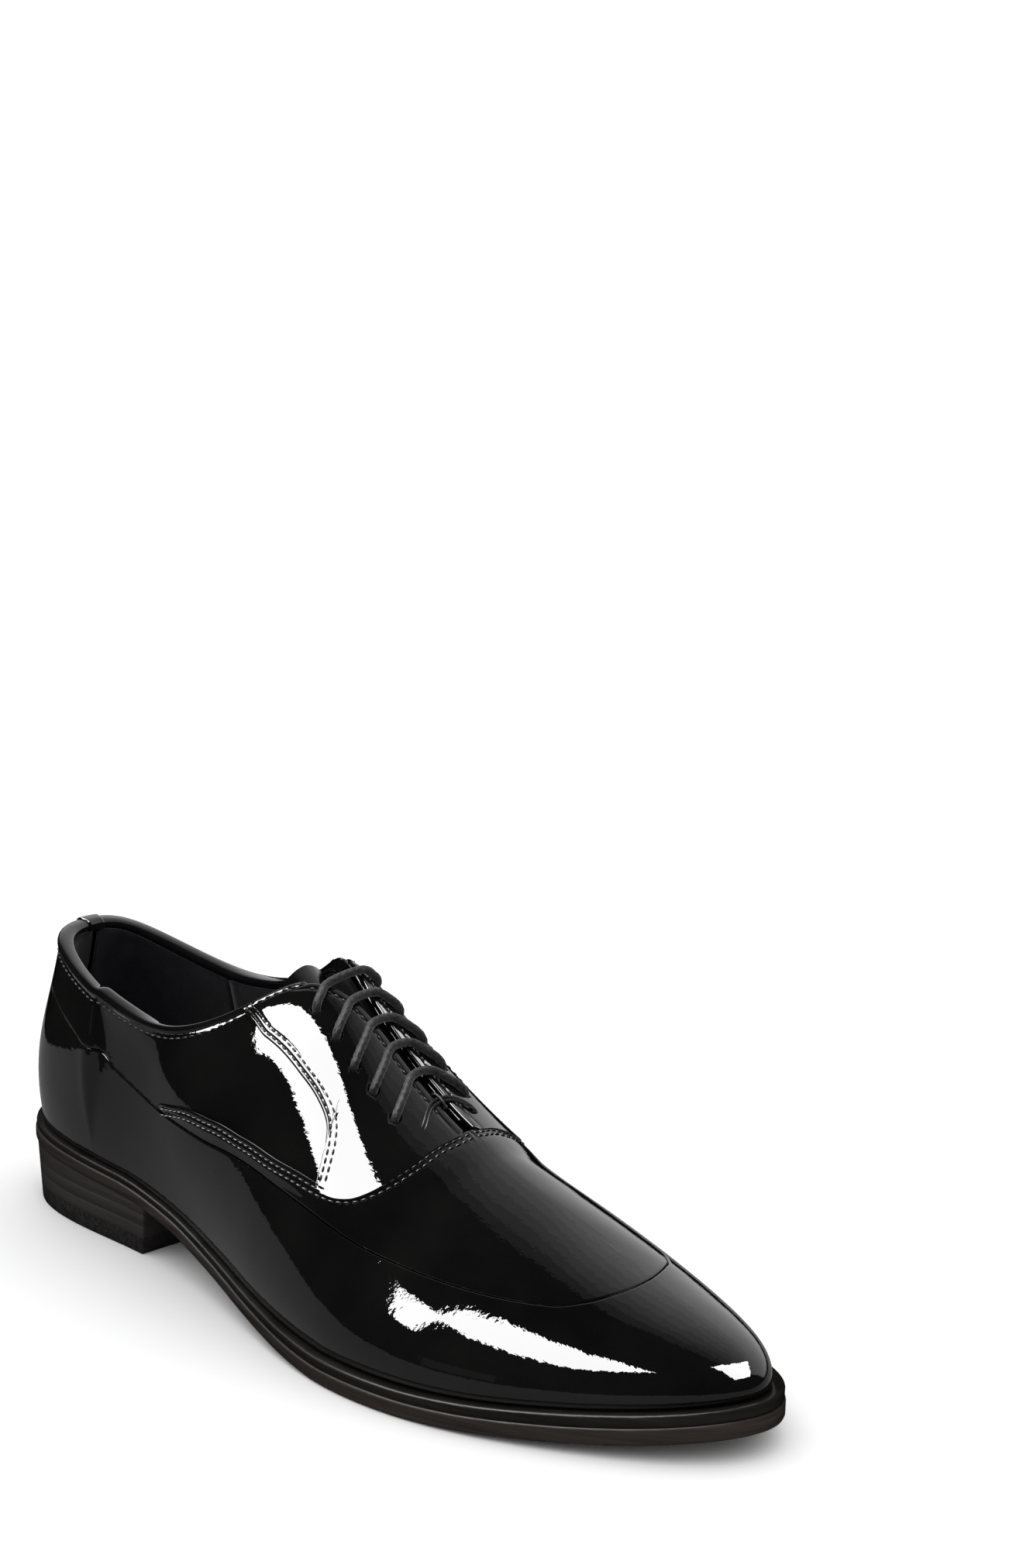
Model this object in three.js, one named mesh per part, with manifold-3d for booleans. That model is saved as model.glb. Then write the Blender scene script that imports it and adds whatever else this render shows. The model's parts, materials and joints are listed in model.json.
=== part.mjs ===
// A right-foot leather oxford shoe, in millimetres. In the rows below x runs from the
// heel back to the toe, +y is the medial (inner) side and z is up from the floor.
import * as THREE from "three";
import { mergeVertices } from "three/addons/utils/BufferGeometryUtils.js";
import Module from "manifold-3d";

const wasm = await Module();
wasm.setup();

// ---------------------------------------------------------------- driving dimensions
// Sole outline in plan, heel back to toe tip, one row for each rib of the shoe.
const LATERAL_EDGE = [
  [-1, 1], [4, -14], [18, -25.5], [40, -29.5], [64, -29.5], [88, -31.5], [112, -37], [136, -45],
  [160, -52.5], [184, -57.5], [208, -57], [232, -51.5], [256, -41], [278, -28.5], [294.5, -14.5],
  [302.5, 2],
];
const MEDIAL_EDGE = [
  [-1, 1], [4, 16], [18, 27], [40, 31], [64, 29], [88, 26], [112, 26], [136, 30.5],
  [160, 38], [184, 45], [208, 48], [232, 45.5], [256, 37.5], [278, 27.5], [294.5, 16.5], [302.5, 2],
];
// Top end of each rib: the topline of the quarters, then the ridge of instep and toe.
const LATERAL_TOPLINE = [
  [11, 1, 85.5], [13.5, -11, 85.5], [23, -20, 84], [41, -26, 79],
  [62, -29, 75], [84, -28, 73], [104, -19, 83], [119, -6, 96],
];
const MEDIAL_TOPLINE = [
  [11, 1, 85.5], [13.5, 13, 84.5], [23, 22, 79], [41, 26, 74.5],
  [62, 26, 73.5], [84, 24, 78], [104, 17, 89], [119, 8, 100],
];
const RIDGE = [
  [134, 0.8, 92.5], [152, 1, 78.5], [172, 1.5, 64.5], [194, 2.5, 56],
  [215, 3, 50], [232, 3, 44.5], [238, 3, 42.7], [238, 3, 42.7],
];
// Fullness of each rib: out and up at the feather edge, out and down at the top end.
const LATERAL_FULLNESS = [
  [4, 26, 3, 24], [4, 26, 3, 24], [5, 26, 4, 22], [6, 26, 5, 20],
  [5, 26, 7, 20], [4, 26, 13, 18], [5, 26, 22, 12], [7, 26, 25, 6],
  [8, 24, 26, 2], [8, 22, 27, 1], [8, 20, 26, 0], [7, 18, 24, 0],
  [6, 16, 22, 0], [5, 15, 22, 0], [4, 15, 26, 0], [3.5, 15, 29, 0],
];
const MEDIAL_FULLNESS = [
  [4, 26, 3, 24], [4, 26, 3, 24], [5, 26, 3, 22], [5, 26, 3, 20],
  [4, 28, 5, 20], [3, 30, 8, 18], [2, 32, 12, 12], [3, 30, 15, 6],
  [5, 26, 18, 2], [6, 23, 20, 1], [6, 20, 20, 0], [6, 18, 20, 0],
  [5, 16, 20, 0], [5, 15, 22, 0], [4, 15, 26, 0], [3.5, 15, 29, 0],
];
const TOE_ROW = LATERAL_EDGE.length - 1;
const ROWS = 2 * TOE_ROW;
const FIRST_RIDGE_ROW = LATERAL_TOPLINE.length;

// Heights along the shoe, as [x, height] points.
const SOLE_UNDERSIDE = [
  [-9, 19], [0, 19], [60, 17], [85, 13.5], [110, 8.5], [140, 3.5], [165, 0.8],
  [180, 0], [210, 0], [228, 0.5], [250, 1.9], [275, 4.3], [310, 9.2],
];
const BOTTOM_THICKNESS = [
  [-9, 6.5], [66, 6], [120, 6.3], [180, 7.6], [228, 8.2], [275, 9], [310, 9.3],
];
const OUTSOLE_THICKNESS = [[-9, 3.9], [120, 3.8], [200, 4.8], [310, 5.4]];
const WELT_LEDGE = [[-9, 2.4], [60, 2.4], [90, 2.2], [130, 2.6], [170, 3.6], [220, 4.2], [310, 4.4]];

// Leather layers, as offsets from the outer face of the upper.
const OVERLAY = { inner: 0.7, outer: 1.6 };
const OUTER = { inner: -1.2, outer: 0 };
const STIFFENER = { inner: -3.2, outer: -2.5 };
const LINING = { inner: -4.5, outer: -3.7 };
const GAP = 0.35;

// Seams, as [row, height up the rib from 0 at the feather edge to 1 at the top].
const HEEL_SEAM = [
  [0, 0.78], [1.9, 0.755], [2.7, 0.72], [3.3, 0.66], [3.75, 0.58], [4.5, 0.5], [5.2, 0.47],
  [6.1, 0.42], [7.55, 0.382],
];
const LATERAL_SEAM = [
  ...HEEL_SEAM, [8.8, 0.405], [10, 0.438], [11, 0.453], [12, 0.493], [12.5, 0.558], [13, 0.649],
  [13.5, 0.731], [14, 0.787], [14.5, 0.816], [15, 0.826],
];
const MEDIAL_SEAM = [
  ...HEEL_SEAM, [8.2, 0.395], [8.8, 0.435], [9.3, 0.5], [9.8, 0.552], [10.3, 0.57], [11, 0.55],
  [11.5, 0.535], [12, 0.552], [12.5, 0.613], [13, 0.701], [13.5, 0.768], [14, 0.807], [14.5, 0.824],
  [15, 0.826],
];
const VAMP_SEAM = [
  [4.6, 0.505], [4.75, 0.545], [5.25, 0.572], [6, 0.518], [6.75, 0.462], [7.45, 0.442],
  [8.1, 0.457], [8.67, 0.487], [8.97, 0.52], [9.27, 0.58], [9.69, 0.709], [10, 0.84],
  [10.19, 0.915], [10.36, 1],
];
const FACING_REAR = [
  [6.03, 1], [6.4, 0.87], [6.77, 0.764], [7.53, 0.668], [8.04, 0.633], [8.3, 0.603],
  [8.39, 0.555], [8.34, 0.5],
];
const FACING_GAP = 2.0;
const GAP_CENTRE = 0.9;
const LACE_HOLES = [[9.28, 0.789], [8.83, 0.789], [8.42, 0.789], [7.98, 0.814], [7.5, 0.859]];
const TACK_HOLE = [9.73, 0.834];

const HOLE_RADIUS = 2.6;
const EYELET_RADIUS = 2.3;
const EYELET_BORE = 1.85;
const EYELET_FLANGE = 3.1;
const EYELET_TOP = 1.1;
const EYELET_INSIDE = -5.8;
const FLANGE_THICKNESS = 0.6;
const LACE_RADIUS = 1.25;
const LACE_OVER = 3.6;
const LACE_UNDER = -8.1;
const LACE_SIDESTEP = 3.3;
const LACE_STEP_RISE = 0.014;
const LACE_SHOULDER = 0.6;
const TAIL_DROP = 0.06;

const WELT_WIDTH = 9;
const WELT_SETBACK = 0.4;
const CORK_START_X = 155;
const CORK_INSET = 9.6;
const SHANK_X = [40, 150];
const SHANK_Y = [-6, 8];
const SHANK_CLEARANCE = 0.1;
const INSOLE_INSET = 4.6;
const INSOLE_THICKNESS = 2;
const SOCK_INSET = 0.3;
const SOCK_TOP = 3.2;
const HEEL_SETBACK = 0.6;
const BREAST_X = 74;
const HEEL_CENTRE = [34, 1];
const HEEL_TAPER = 0.05;
const HEEL_JOINTS = [0, 5.3, 9.3, 13.3];
const TOPLINE_TRIM = 2.4;

// Ends and edges of the upper's layers, in rows from the heel and in height up the rib.
const VAMP_START_ROW = 4.65;
const QUARTER_START_ROW = 0.04;
const CORNER_ROW = 7.05;
const BESIDE_CORNER_ROW = 6.9;
const THROAT_ROW = 10.02;
const FACING_TOP_ROW = 6.2;
const FACING_FOOT_ROW = 8.36;
const BACKSTAY_HALF = 0.34;
const BINDING_END = 7.1;
const BINDING_DROP = 1.7;
const BINDING_SECTION = [
  [-4.2, -BINDING_DROP], [-4.3, -0.5], [-3.1, 0.4], [-0.9, 0.5], [0.7, -0.3], [0.8, -BINDING_DROP],
];
const LINING_FOOT = 0.012;
const GRIP_ROW = 3.6;
const VAMP_LINING_ROW = 10.2;
const STIFFENER_FOOT = 0.02;
const COUNTER_REACH = 4.2;
const COUNTER_HEIGHT = { ends: 0.06, bow: 0.5 };
const PUFF_START_ROW = 12.6;
const PUFF_HEIGHT = { ends: 0.25, bow: 0.38 };
const STAY_ROWS = [7.3, 9.75];
const STAY_WIDTH = 0.18;

// Tongue: its centre line as [x, z] under the ridge, and its edges along that line.
const TONGUE_LINE = [[188, 46], [167, 54], [145.5, 68.5], [127.5, 82], [115.5, 91.5], [108, 97]];
const TONGUE_FALL = { lateral: 0.032, medial: 0.06 };
const TONGUE_THICKNESS = 1.6;
const TONGUE_SHOULDER = 0.87;
const TONGUE_CROWN = 0.05;
const TONGUE_EDGES = { lateral: [-13, 5], medial: [10, -1] };

const ORIGIN_X = 150.35;
const ORIGIN_Y = -5;

// Free ends of the lace, tucked inside: down the lining, then along the sock to the aglet.
const LATERAL_TAIL = [
  [131.5, -13.2, 79.6], [131.6, -16.2, 77], [131.2, -19.8, 73.4], [130.3, -25, 65.2], [128.6, -28.4, 56],
  [126, -30.8, 47], [123.4, -31.6, 38], [121.4, -31, 29.5], [118, -29, 22], [111, -26, 20],
  [102, -22.8, 21.4], [91, -19.8, 23.6], [79, -17.2, 25.8], [67, -15.2, 27.4], [55, -13.2, 28.5],
  [45, -9.6, 29], [38.6, -3.6, 29.3], [39.6, 3.2, 29.3], [46.5, 6.8, 29], [56, 7, 28.5], [64, 6, 27.7],
];
const MEDIAL_TAIL = [
  [140.2, 9.9, 74.9], [139.9, 12.1, 72.6], [139.2, 14.6, 67.8], [137.8, 17.2, 59.5], [134.8, 18.8, 50.2],
  [132, 19.6, 40.4], [128.4, 19.6, 30.6], [123.6, 18.4, 22.2], [115, 16.4, 19.2], [104, 15, 21.1],
  [92, 14.4, 23.6], [80, 15, 25.8], [68, 16.4, 27.4], [56, 17.6, 28.5], [45, 17.8, 29.2], [35, 16, 29.5],
  [26.6, 11.4, 29.7], [22.6, 4, 29.8], [23, -4, 29.8], [27.6, -10.6, 29.7], [33, -14.2, 29.5],
];
const LATERAL_AGLET_END = [83.4, 3, 25];
const MEDIAL_AGLET_END = [52.5, -18.6, 28.6];
const AGLET_RADIUS = 1.5;
const TACK_RADIUS = 0.8;

// ---------------------------------------------------------------- curves and surface
function ring(lateral, medial) {
  return [...lateral, ...medial.slice(1, TOE_ROW).reverse()];
}

function splineWeights(f) {
  return [
    (1 - f) ** 3 / 6,
    (3 * f ** 3 - 6 * f ** 2 + 4) / 6,
    (-3 * f ** 3 + 3 * f ** 2 + 3 * f + 1) / 6,
    f ** 3 / 6,
  ];
}

// Closed uniform cubic B-spline through rows of numbers.
function blendRows(rows, s) {
  const base = Math.floor(s);
  const weights = splineWeights(s - base);
  const out = rows[0].map(() => 0);
  weights.forEach((w, k) => {
    const row = rows[(((base + k - 1) % ROWS) + ROWS) % ROWS];
    row.forEach((value, c) => { out[c] += w * value; });
  });
  return out;
}

// Monotone cubic through [x, y] points.
function profile(points) {
  const secant = [];
  for (let i = 0; i + 1 < points.length; i++) {
    secant.push((points[i + 1][1] - points[i][1]) / (points[i + 1][0] - points[i][0]));
  }
  const slope = points.map((_, i) => {
    if (i === 0) return secant[0];
    if (i === points.length - 1) return secant[i - 1];
    const product = secant[i - 1] * secant[i];
    return product <= 0 ? 0 : (2 * product) / (secant[i - 1] + secant[i]);
  });
  return (x) => {
    const last = points.length - 2;
    let i = 0;
    while (i < last && x > points[i + 1][0]) i++;
    const width = points[i + 1][0] - points[i][0];
    const t = Math.min(1, Math.max(0, (x - points[i][0]) / width));
    const a = 2 * t ** 3 - 3 * t ** 2 + 1;
    const b = t ** 3 - 2 * t ** 2 + t;
    const c = -2 * t ** 3 + 3 * t ** 2;
    const d = t ** 3 - t ** 2;
    return a * points[i][1] + b * width * slope[i] + c * points[i + 1][1] + d * width * slope[i + 1];
  };
}

const edgeRing = ring(LATERAL_EDGE, MEDIAL_EDGE);
const topRing = ring([...LATERAL_TOPLINE, ...RIDGE], [...MEDIAL_TOPLINE, ...RIDGE]);
const fullnessRing = ring(LATERAL_FULLNESS, MEDIAL_FULLNESS);
const soleUnderside = profile(SOLE_UNDERSIDE);
const bottomThickness = profile(BOTTOM_THICKNESS);
const outsoleThickness = profile(OUTSOLE_THICKNESS);
const weltLedge = profile(WELT_LEDGE);
const lateralSeam = profile(LATERAL_SEAM);
const medialSeam = profile(MEDIAL_SEAM);
const vampSeamRow = profile(VAMP_SEAM);

function soleEdge(s) {
  const [x, y] = blendRows(edgeRing, s);
  return new THREE.Vector2(x, y);
}

// Outward normal of the sole outline in plan.
function soleNormal(s) {
  const step = 0.001;
  const along = soleEdge(s + step).sub(soleEdge(s - step)).normalize();
  return new THREE.Vector2(along.y, -along.x);
}

function insetEdge(s, distance) {
  return soleEdge(s).addScaledVector(soleNormal(s), -distance);
}

const featherHeight = (x) => soleUnderside(x) + bottomThickness(x);

function featherPoint(s) {
  const edge = soleEdge(s);
  const inner = insetEdge(s, weltLedge(edge.x));
  return new THREE.Vector3(inner.x, inner.y, featherHeight(inner.x));
}

// Slope of the instep and toe ridge, dz/dx.
const ridgeSlope = profile(RIDGE.slice(0, -2).map((p, i, all) => {
  const before = all[Math.max(0, i - 1)];
  const after = all[Math.min(all.length - 1, i + 1)];
  return [p[0], (after[2] - before[2]) / (after[0] - before[0])];
}));

const rowFromHeel = (s) => {
  const wrapped = ((s % ROWS) + ROWS) % ROWS;
  return Math.min(wrapped, ROWS - wrapped);
};

const vampSeam = (s) => Math.min(1, vampSeamRow(rowFromHeel(s)));

// The foxing seam runs higher on the medial side of the vamp.
function foxingSeam(s) {
  return s < 0 || s > TOE_ROW ? medialSeam(rowFromHeel(s)) : lateralSeam(s);
}

// Point of the upper's outer face: s is the rib, v the height up it.
function upperPoint(s, v) {
  const foot = featherPoint(s);
  const top = new THREE.Vector3(...blendRows(topRing, s));
  const [footOut, footUp, topOut, topDown] = blendRows(fullnessRing, s);
  const normal = soleNormal(s);
  const away = new THREE.Vector3(foot.x - top.x, foot.y - top.y, 0).normalize();
  const onRidge = THREE.MathUtils.smoothstep(rowFromHeel(s), FIRST_RIDGE_ROW - 1, FIRST_RIDGE_ROW + 2);
  const slope = ridgeSlope(top.x) * onRidge;
  const low = new THREE.Vector3(foot.x + normal.x * footOut, foot.y + normal.y * footOut, foot.z + footUp);
  const high = top.clone().addScaledVector(away, topOut);
  high.z += slope * away.x * topOut - topDown;
  return new THREE.CubicBezierCurve3(foot, low, high, top).getPoint(v);
}

function upperNormal(s, v) {
  if (v > 0.9995 && rowFromHeel(s) > FIRST_RIDGE_ROW + 1) {
    const [x] = blendRows(topRing, s);
    return new THREE.Vector3(-ridgeSlope(x), 0, 1).normalize();
  }
  const step = 0.002;
  const along = upperPoint(s + step, v).sub(upperPoint(s - step, v));
  const up = upperPoint(s, Math.min(1, v + step)).sub(upperPoint(s, Math.max(0, v - step)));
  return along.cross(up).normalize();
}

const onUpper = (offset) => (s, v) => upperPoint(s, v).addScaledVector(upperNormal(s, v), offset);

// Height up the rib where the folded top of the leather ends below the binding.
function toplineEdge(s, trim) {
  const top = upperPoint(s, 1);
  let low = 0.7;
  let high = 1;
  for (let i = 0; i < 20; i++) {
    const middle = (low + high) / 2;
    if (upperPoint(s, middle).distanceTo(top) > trim) low = middle;
    else high = middle;
  }
  return low;
}

// Height up the rib of the facing edge: half the gap away from the ridge.
function facingEdge(s, halfGap) {
  const side = upperPoint(s, 0.5).y < 0 ? -1 : 1;
  if ((upperPoint(s, 1).y - GAP_CENTRE) * side > halfGap) return toplineEdge(s, TOPLINE_TRIM);
  let low = 0.5;
  let high = 1;
  for (let i = 0; i < 30; i++) {
    const middle = (low + high) / 2;
    if ((upperPoint(s, middle).y - GAP_CENTRE) * side > halfGap) low = middle;
    else high = middle;
  }
  return Math.min(low, toplineEdge(s, TOPLINE_TRIM));
}

// ---------------------------------------------------------------- meshing helpers
function clipHalf(polygon, axis, limit, keepAbove) {
  const out = [];
  polygon.forEach((p, i) => {
    const q = polygon[(i + 1) % polygon.length];
    const pIn = keepAbove ? p[axis] >= limit : p[axis] <= limit;
    const qIn = keepAbove ? q[axis] >= limit : q[axis] <= limit;
    if (pIn) out.push(p);
    if (pIn !== qIn) {
      const t = (limit - p[axis]) / (q[axis] - p[axis]);
      const crossing = [p[0] + t * (q[0] - p[0]), p[1] + t * (q[1] - p[1])];
      crossing[axis] = limit;
      out.push(crossing);
    }
  });
  return out;
}

function area(polygon) {
  let sum = 0;
  polygon.forEach((p, i) => {
    const q = polygon[(i + 1) % polygon.length];
    sum += p[0] * q[1] - q[0] * p[1];
  });
  return sum / 2;
}

// Splits a polygon by a grid, so that its flat triangles can follow a curved surface.
function gridTriangles(polygon, stepA, stepB) {
  const tiny = 1e-7;
  const triangles = [];
  const low = [0, 1].map((k) => Math.min(...polygon.map((p) => p[k])));
  const high = [0, 1].map((k) => Math.max(...polygon.map((p) => p[k])));
  for (let i = Math.floor(low[0] / stepA + tiny); i * stepA < high[0] - tiny; i++) {
    let strip = clipHalf(polygon, 0, i * stepA, true);
    strip = clipHalf(strip, 0, (i + 1) * stepA, false);
    for (let j = Math.floor(low[1] / stepB + tiny); j * stepB < high[1] - tiny; j++) {
      let cell = clipHalf(strip, 1, j * stepB, true);
      cell = clipHalf(cell, 1, (j + 1) * stepB, false);
      if (cell.length < 3 || Math.abs(area(cell)) < tiny) continue;
      const points = cell.map((p) => new THREE.Vector2(p[0], p[1]));
      for (const face of THREE.ShapeUtils.triangulateShape(points, [])) {
        const corners = face.map((k) => cell[k]);
        triangles.push(area(corners) < 0 ? corners.reverse() : corners);
      }
    }
  }
  return triangles;
}

// Closed solid between two faces: outer(a, b) and inner(a, b) over a polygon in (a, b).
function solidBetween(polygon, stepA, stepB, outer, inner) {
  const index = new Map();
  const top = [];
  const bottom = [];
  const vertex = ([a, b]) => {
    const p = outer(a, b);
    const key = p.toArray().map((value) => Math.round(value * 2000)).join();
    if (!index.has(key)) {
      index.set(key, top.length);
      top.push(p);
      bottom.push(inner(a, b));
    }
    return index.get(key);
  };
  const faces = [];
  for (const corners of gridTriangles(polygon, stepA, stepB)) {
    const face = corners.map(vertex);
    if (new Set(face).size === 3) faces.push(face);
  }
  const edges = new Set(faces.flatMap(([a, b, c]) => [`${a},${b}`, `${b},${c}`, `${c},${a}`]));
  const count = top.length;
  const indices = [];
  for (const [a, b, c] of faces) {
    indices.push(a, b, c, count + c, count + b, count + a);
    for (const [p, q] of [[a, b], [b, c], [c, a]]) {
      if (!edges.has(`${q},${p}`)) indices.push(q, p, count + p, q, count + p, count + q);
    }
  }
  const geometry = new THREE.BufferGeometry();
  const positions = [...top, ...bottom].flatMap((p) => p.toArray());
  geometry.setAttribute("position", new THREE.Float32BufferAttribute(positions, 3));
  geometry.setIndex(indices);
  return geometry;
}

// The same shape with one vertex at each corner, and nothing but positions.
function welded(geometry) {
  const bare = geometry.clone();
  bare.deleteAttribute("normal");
  bare.deleteAttribute("uv");
  return mergeVertices(bare, 1e-4);
}

function toManifold(geometry) {
  const merged = welded(geometry);
  return new wasm.Manifold(new wasm.Mesh({
    numProp: 3,
    vertProperties: new Float32Array(merged.attributes.position.array),
    triVerts: new Uint32Array(merged.index.array),
  }));
}

function fromManifold(solid) {
  const mesh = solid.getMesh();
  const geometry = new THREE.BufferGeometry();
  geometry.setAttribute("position", new THREE.BufferAttribute(new Float32Array(mesh.vertProperties), 3));
  geometry.setIndex(new THREE.BufferAttribute(new Uint32Array(mesh.triVerts), 1));
  return geometry;
}

function cutHoles(geometry, tools) {
  const cut = tools.reduce((solid, tool) => solid.subtract(toManifold(tool)), toManifold(geometry));
  return fromManifold(cut);
}

function samples(from, to, count, pointAt) {
  return Array.from({ length: count + 1 }, (_, i) => pointAt(from + ((to - from) * i) / count));
}

// Grid of the upper. Every layer breaks on the same lines, so their facets stay parallel.
const STEP_ROW = 0.6;
const STEP_RISE = 0.2;
const CLOSEST_ROWS = 0.1;

// Points at the grid rows between two rows, ends included.
function onRows(from, to, pointAt) {
  const low = Math.min(from, to);
  const high = Math.max(from, to);
  const rows = [low];
  for (let i = Math.floor(low / STEP_ROW) + 1; i * STEP_ROW < high - CLOSEST_ROWS; i++) {
    if (i * STEP_ROW > low + CLOSEST_ROWS) rows.push(i * STEP_ROW);
  }
  rows.push(high);
  if (from > to) rows.reverse();
  return rows.map(pointAt);
}

// An outline drawn by distance from the heel, placed on the lateral or the medial half.
const SIDES = { lateral: (row) => row, medial: (row) => ROWS - row };
function onSide(side, outline) {
  const polygon = outline(SIDES[side]).map(([row, v]) => [SIDES[side](row), v]);
  return side === "lateral" ? polygon : polygon.reverse();
}

function upperPanel(polygon, layer) {
  return solidBetween(polygon, STEP_ROW, STEP_RISE, onUpper(layer.outer), onUpper(layer.inner));
}

// ---------------------------------------------------------------- the upper
const GAP_ROWS = 0.03;
const GAP_RISE = 0.007;

function foxing() {
  const top = onRows(ROWS, 0, (s) => [s, foxingSeam(s) - GAP_RISE]);
  return upperPanel([...onRows(0, ROWS, (s) => [s, 0]), ...top], OUTER);
}

function vamp() {
  const start = VAMP_START_ROW;
  const [throat] = VAMP_SEAM[VAMP_SEAM.length - 1];
  const low = onRows(start, ROWS - start, (s) => [s, foxingSeam(s) + GAP_RISE]);
  const upTo = (s) => [s, vampSeam(s)];
  const medial = onRows(ROWS - start, ROWS - throat, upTo);
  const lateral = onRows(throat, start, upTo);
  return upperPanel([...low, ...medial.slice(1), ...lateral.slice(0, -1)], OUTER);
}

// Lower edge of the quarter: the foxing seam, then the edge of the vamp.
function quarterFoot(s) {
  const seam = rowFromHeel(s) < VAMP_SEAM[0][0] ? foxingSeam(s) : Math.max(foxingSeam(s), vampSeam(s));
  return seam + 2 * GAP_RISE;
}

function facingRows(side) {
  return onRows(THROAT_ROW, CORNER_ROW, (row) => [row, facingEdge(side(row), FACING_GAP)]);
}

function quarterOutline(side) {
  const rear = QUARTER_START_ROW;
  const foot = onRows(rear, THROAT_ROW, (row) => [row, quarterFoot(side(row))]);
  const topline = onRows(BESIDE_CORNER_ROW, rear, (row) => [row, toplineEdge(side(row), TOPLINE_TRIM)]);
  return [...foot, ...facingRows(side), ...topline];
}

function facingOutline(side) {
  const top = (row) => [row, toplineEdge(side(row), TOPLINE_TRIM)];
  const rear = FACING_REAR.map(([row, v]) => [row, Math.min(v, top(row)[1])]);
  const foot = onRows(FACING_FOOT_ROW, THROAT_ROW, (row) => [row, quarterFoot(side(row)) + GAP_RISE]);
  return [...rear, ...foot, ...facingRows(side), ...onRows(BESIDE_CORNER_ROW, FACING_TOP_ROW, top)];
}

const CUTTER_LENGTH = 24;
const ROUND_SIDES = 10;

// Straight cutter along the surface normal at a lace hole.
function holeFrame(s, v) {
  const normal = upperNormal(s, v);
  const turn = new THREE.Quaternion().setFromUnitVectors(new THREE.Vector3(0, 0, 1), normal);
  return { centre: upperPoint(s, v), normal, turn };
}

function holeCutter([s, v], radius) {
  const { centre, turn } = holeFrame(s, v);
  const cutter = new THREE.CylinderGeometry(radius, radius, CUTTER_LENGTH, ROUND_SIDES);
  cutter.rotateX(Math.PI / 2);
  cutter.applyQuaternion(turn);
  cutter.translate(centre.x, centre.y, centre.z);
  return cutter;
}

const holesOn = (side) => LACE_HOLES.map(([row, v]) => [SIDES[side](row), v]);

function withHoles(geometry, holes) {
  return cutHoles(geometry, holes.map((hole) => holeCutter(hole, HOLE_RADIUS)));
}

function backstay() {
  const low = foxingSeam(0) + 3 * GAP_RISE;
  const polygon = [
    ...onRows(-BACKSTAY_HALF, BACKSTAY_HALF, (s) => [s, low]),
    ...onRows(BACKSTAY_HALF, -BACKSTAY_HALF, (s) => [s, toplineEdge(s, TOPLINE_TRIM)]),
  ];
  return upperPanel(polygon, OVERLAY);
}

// Rolled binding over the raw top edges of quarter and lining.
function toplineBinding() {
  const point = (s, k) => {
    const [offset, rise] = BINDING_SECTION[k];
    const up = upperPoint(s, 1).sub(upperPoint(s, 0.98)).normalize();
    return onUpper(offset)(s, 1).addScaledVector(up, rise);
  };
  return sweptSection(onRows(-BINDING_END, BINDING_END, (s) => s), BINDING_SECTION.length, point);
}

// Closed solid from sections: point(station, corner), capped at both ends.
function sweptSection(stations, corners, point) {
  const positions = [];
  const indices = [];
  stations.forEach((s) => {
    for (let k = 0; k < corners; k++) positions.push(...point(s, k).toArray());
  });
  for (let i = 0; i + 1 < stations.length; i++) {
    for (let k = 0; k < corners; k++) {
      const a = i * corners + k;
      const b = i * corners + ((k + 1) % corners);
      indices.push(a, b, a + corners, b, b + corners, a + corners);
    }
  }
  const last = (stations.length - 1) * corners;
  for (let k = 1; k + 1 < corners; k++) {
    indices.push(0, k + 1, k, last, last + k, last + k + 1);
  }
  const geometry = new THREE.BufferGeometry();
  geometry.setAttribute("position", new THREE.Float32BufferAttribute(positions, 3));
  geometry.setIndex(indices);
  const solid = toManifold(geometry);
  return solid.volume() < 0 ? flipped(geometry) : geometry;
}

function flipped(geometry) {
  const index = geometry.index.array;
  for (let i = 0; i < index.length; i += 3) {
    [index[i], index[i + 1]] = [index[i + 1], index[i]];
  }
  return geometry;
}

function heelGripLining() {
  const foot = onRows(-GRIP_ROW, GRIP_ROW, (s) => [s, LINING_FOOT]);
  const top = onRows(GRIP_ROW, -GRIP_ROW, (s) => [s, toplineEdge(s, TOPLINE_TRIM)]);
  return upperPanel([...foot, ...top], LINING);
}

function quarterLiningOutline(side) {
  const foot = onRows(GRIP_ROW + GAP_ROWS, VAMP_LINING_ROW, (row) => [row, LINING_FOOT]);
  const edge = (row) => [row, facingEdge(side(row), FACING_GAP)];
  return [...foot, ...onRows(VAMP_LINING_ROW, GRIP_ROW + GAP_ROWS, edge)];
}

function vampLining() {
  const from = VAMP_LINING_ROW + GAP_ROWS;
  const foot = onRows(from, ROWS - from, (s) => [s, LINING_FOOT]);
  return upperPanel([...foot, ...onRows(ROWS - from, from, (s) => [s, 1])], LINING);
}

function heelCounter() {
  const reach = COUNTER_REACH;
  const { ends, bow } = COUNTER_HEIGHT;
  const top = (s) => ends + bow * Math.sqrt(Math.max(0, 1 - (s / reach) ** 2));
  const foot = onRows(-reach, reach, (s) => [s, STIFFENER_FOOT]);
  return upperPanel([...foot, ...onRows(reach, -reach, (s) => [s, top(s)])], STIFFENER);
}

function toePuff() {
  const from = PUFF_START_ROW;
  const to = ROWS - from;
  const { ends, bow } = PUFF_HEIGHT;
  const foot = onRows(from, to, (s) => [s, STIFFENER_FOOT]);
  const top = (s) => ends + bow * Math.sin(Math.PI * ((s - from) / (to - from)));
  return upperPanel([...foot, ...onRows(to, from, (s) => [s, top(s)])], STIFFENER);
}

function stayOutline(side) {
  const [rear, front] = STAY_ROWS;
  const edge = (row) => facingEdge(side(row), FACING_GAP);
  return [
    ...onRows(rear, front, (row) => [row, edge(row) - STAY_WIDTH]),
    ...onRows(front, rear, (row) => [row, edge(row)]),
  ];
}

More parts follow.
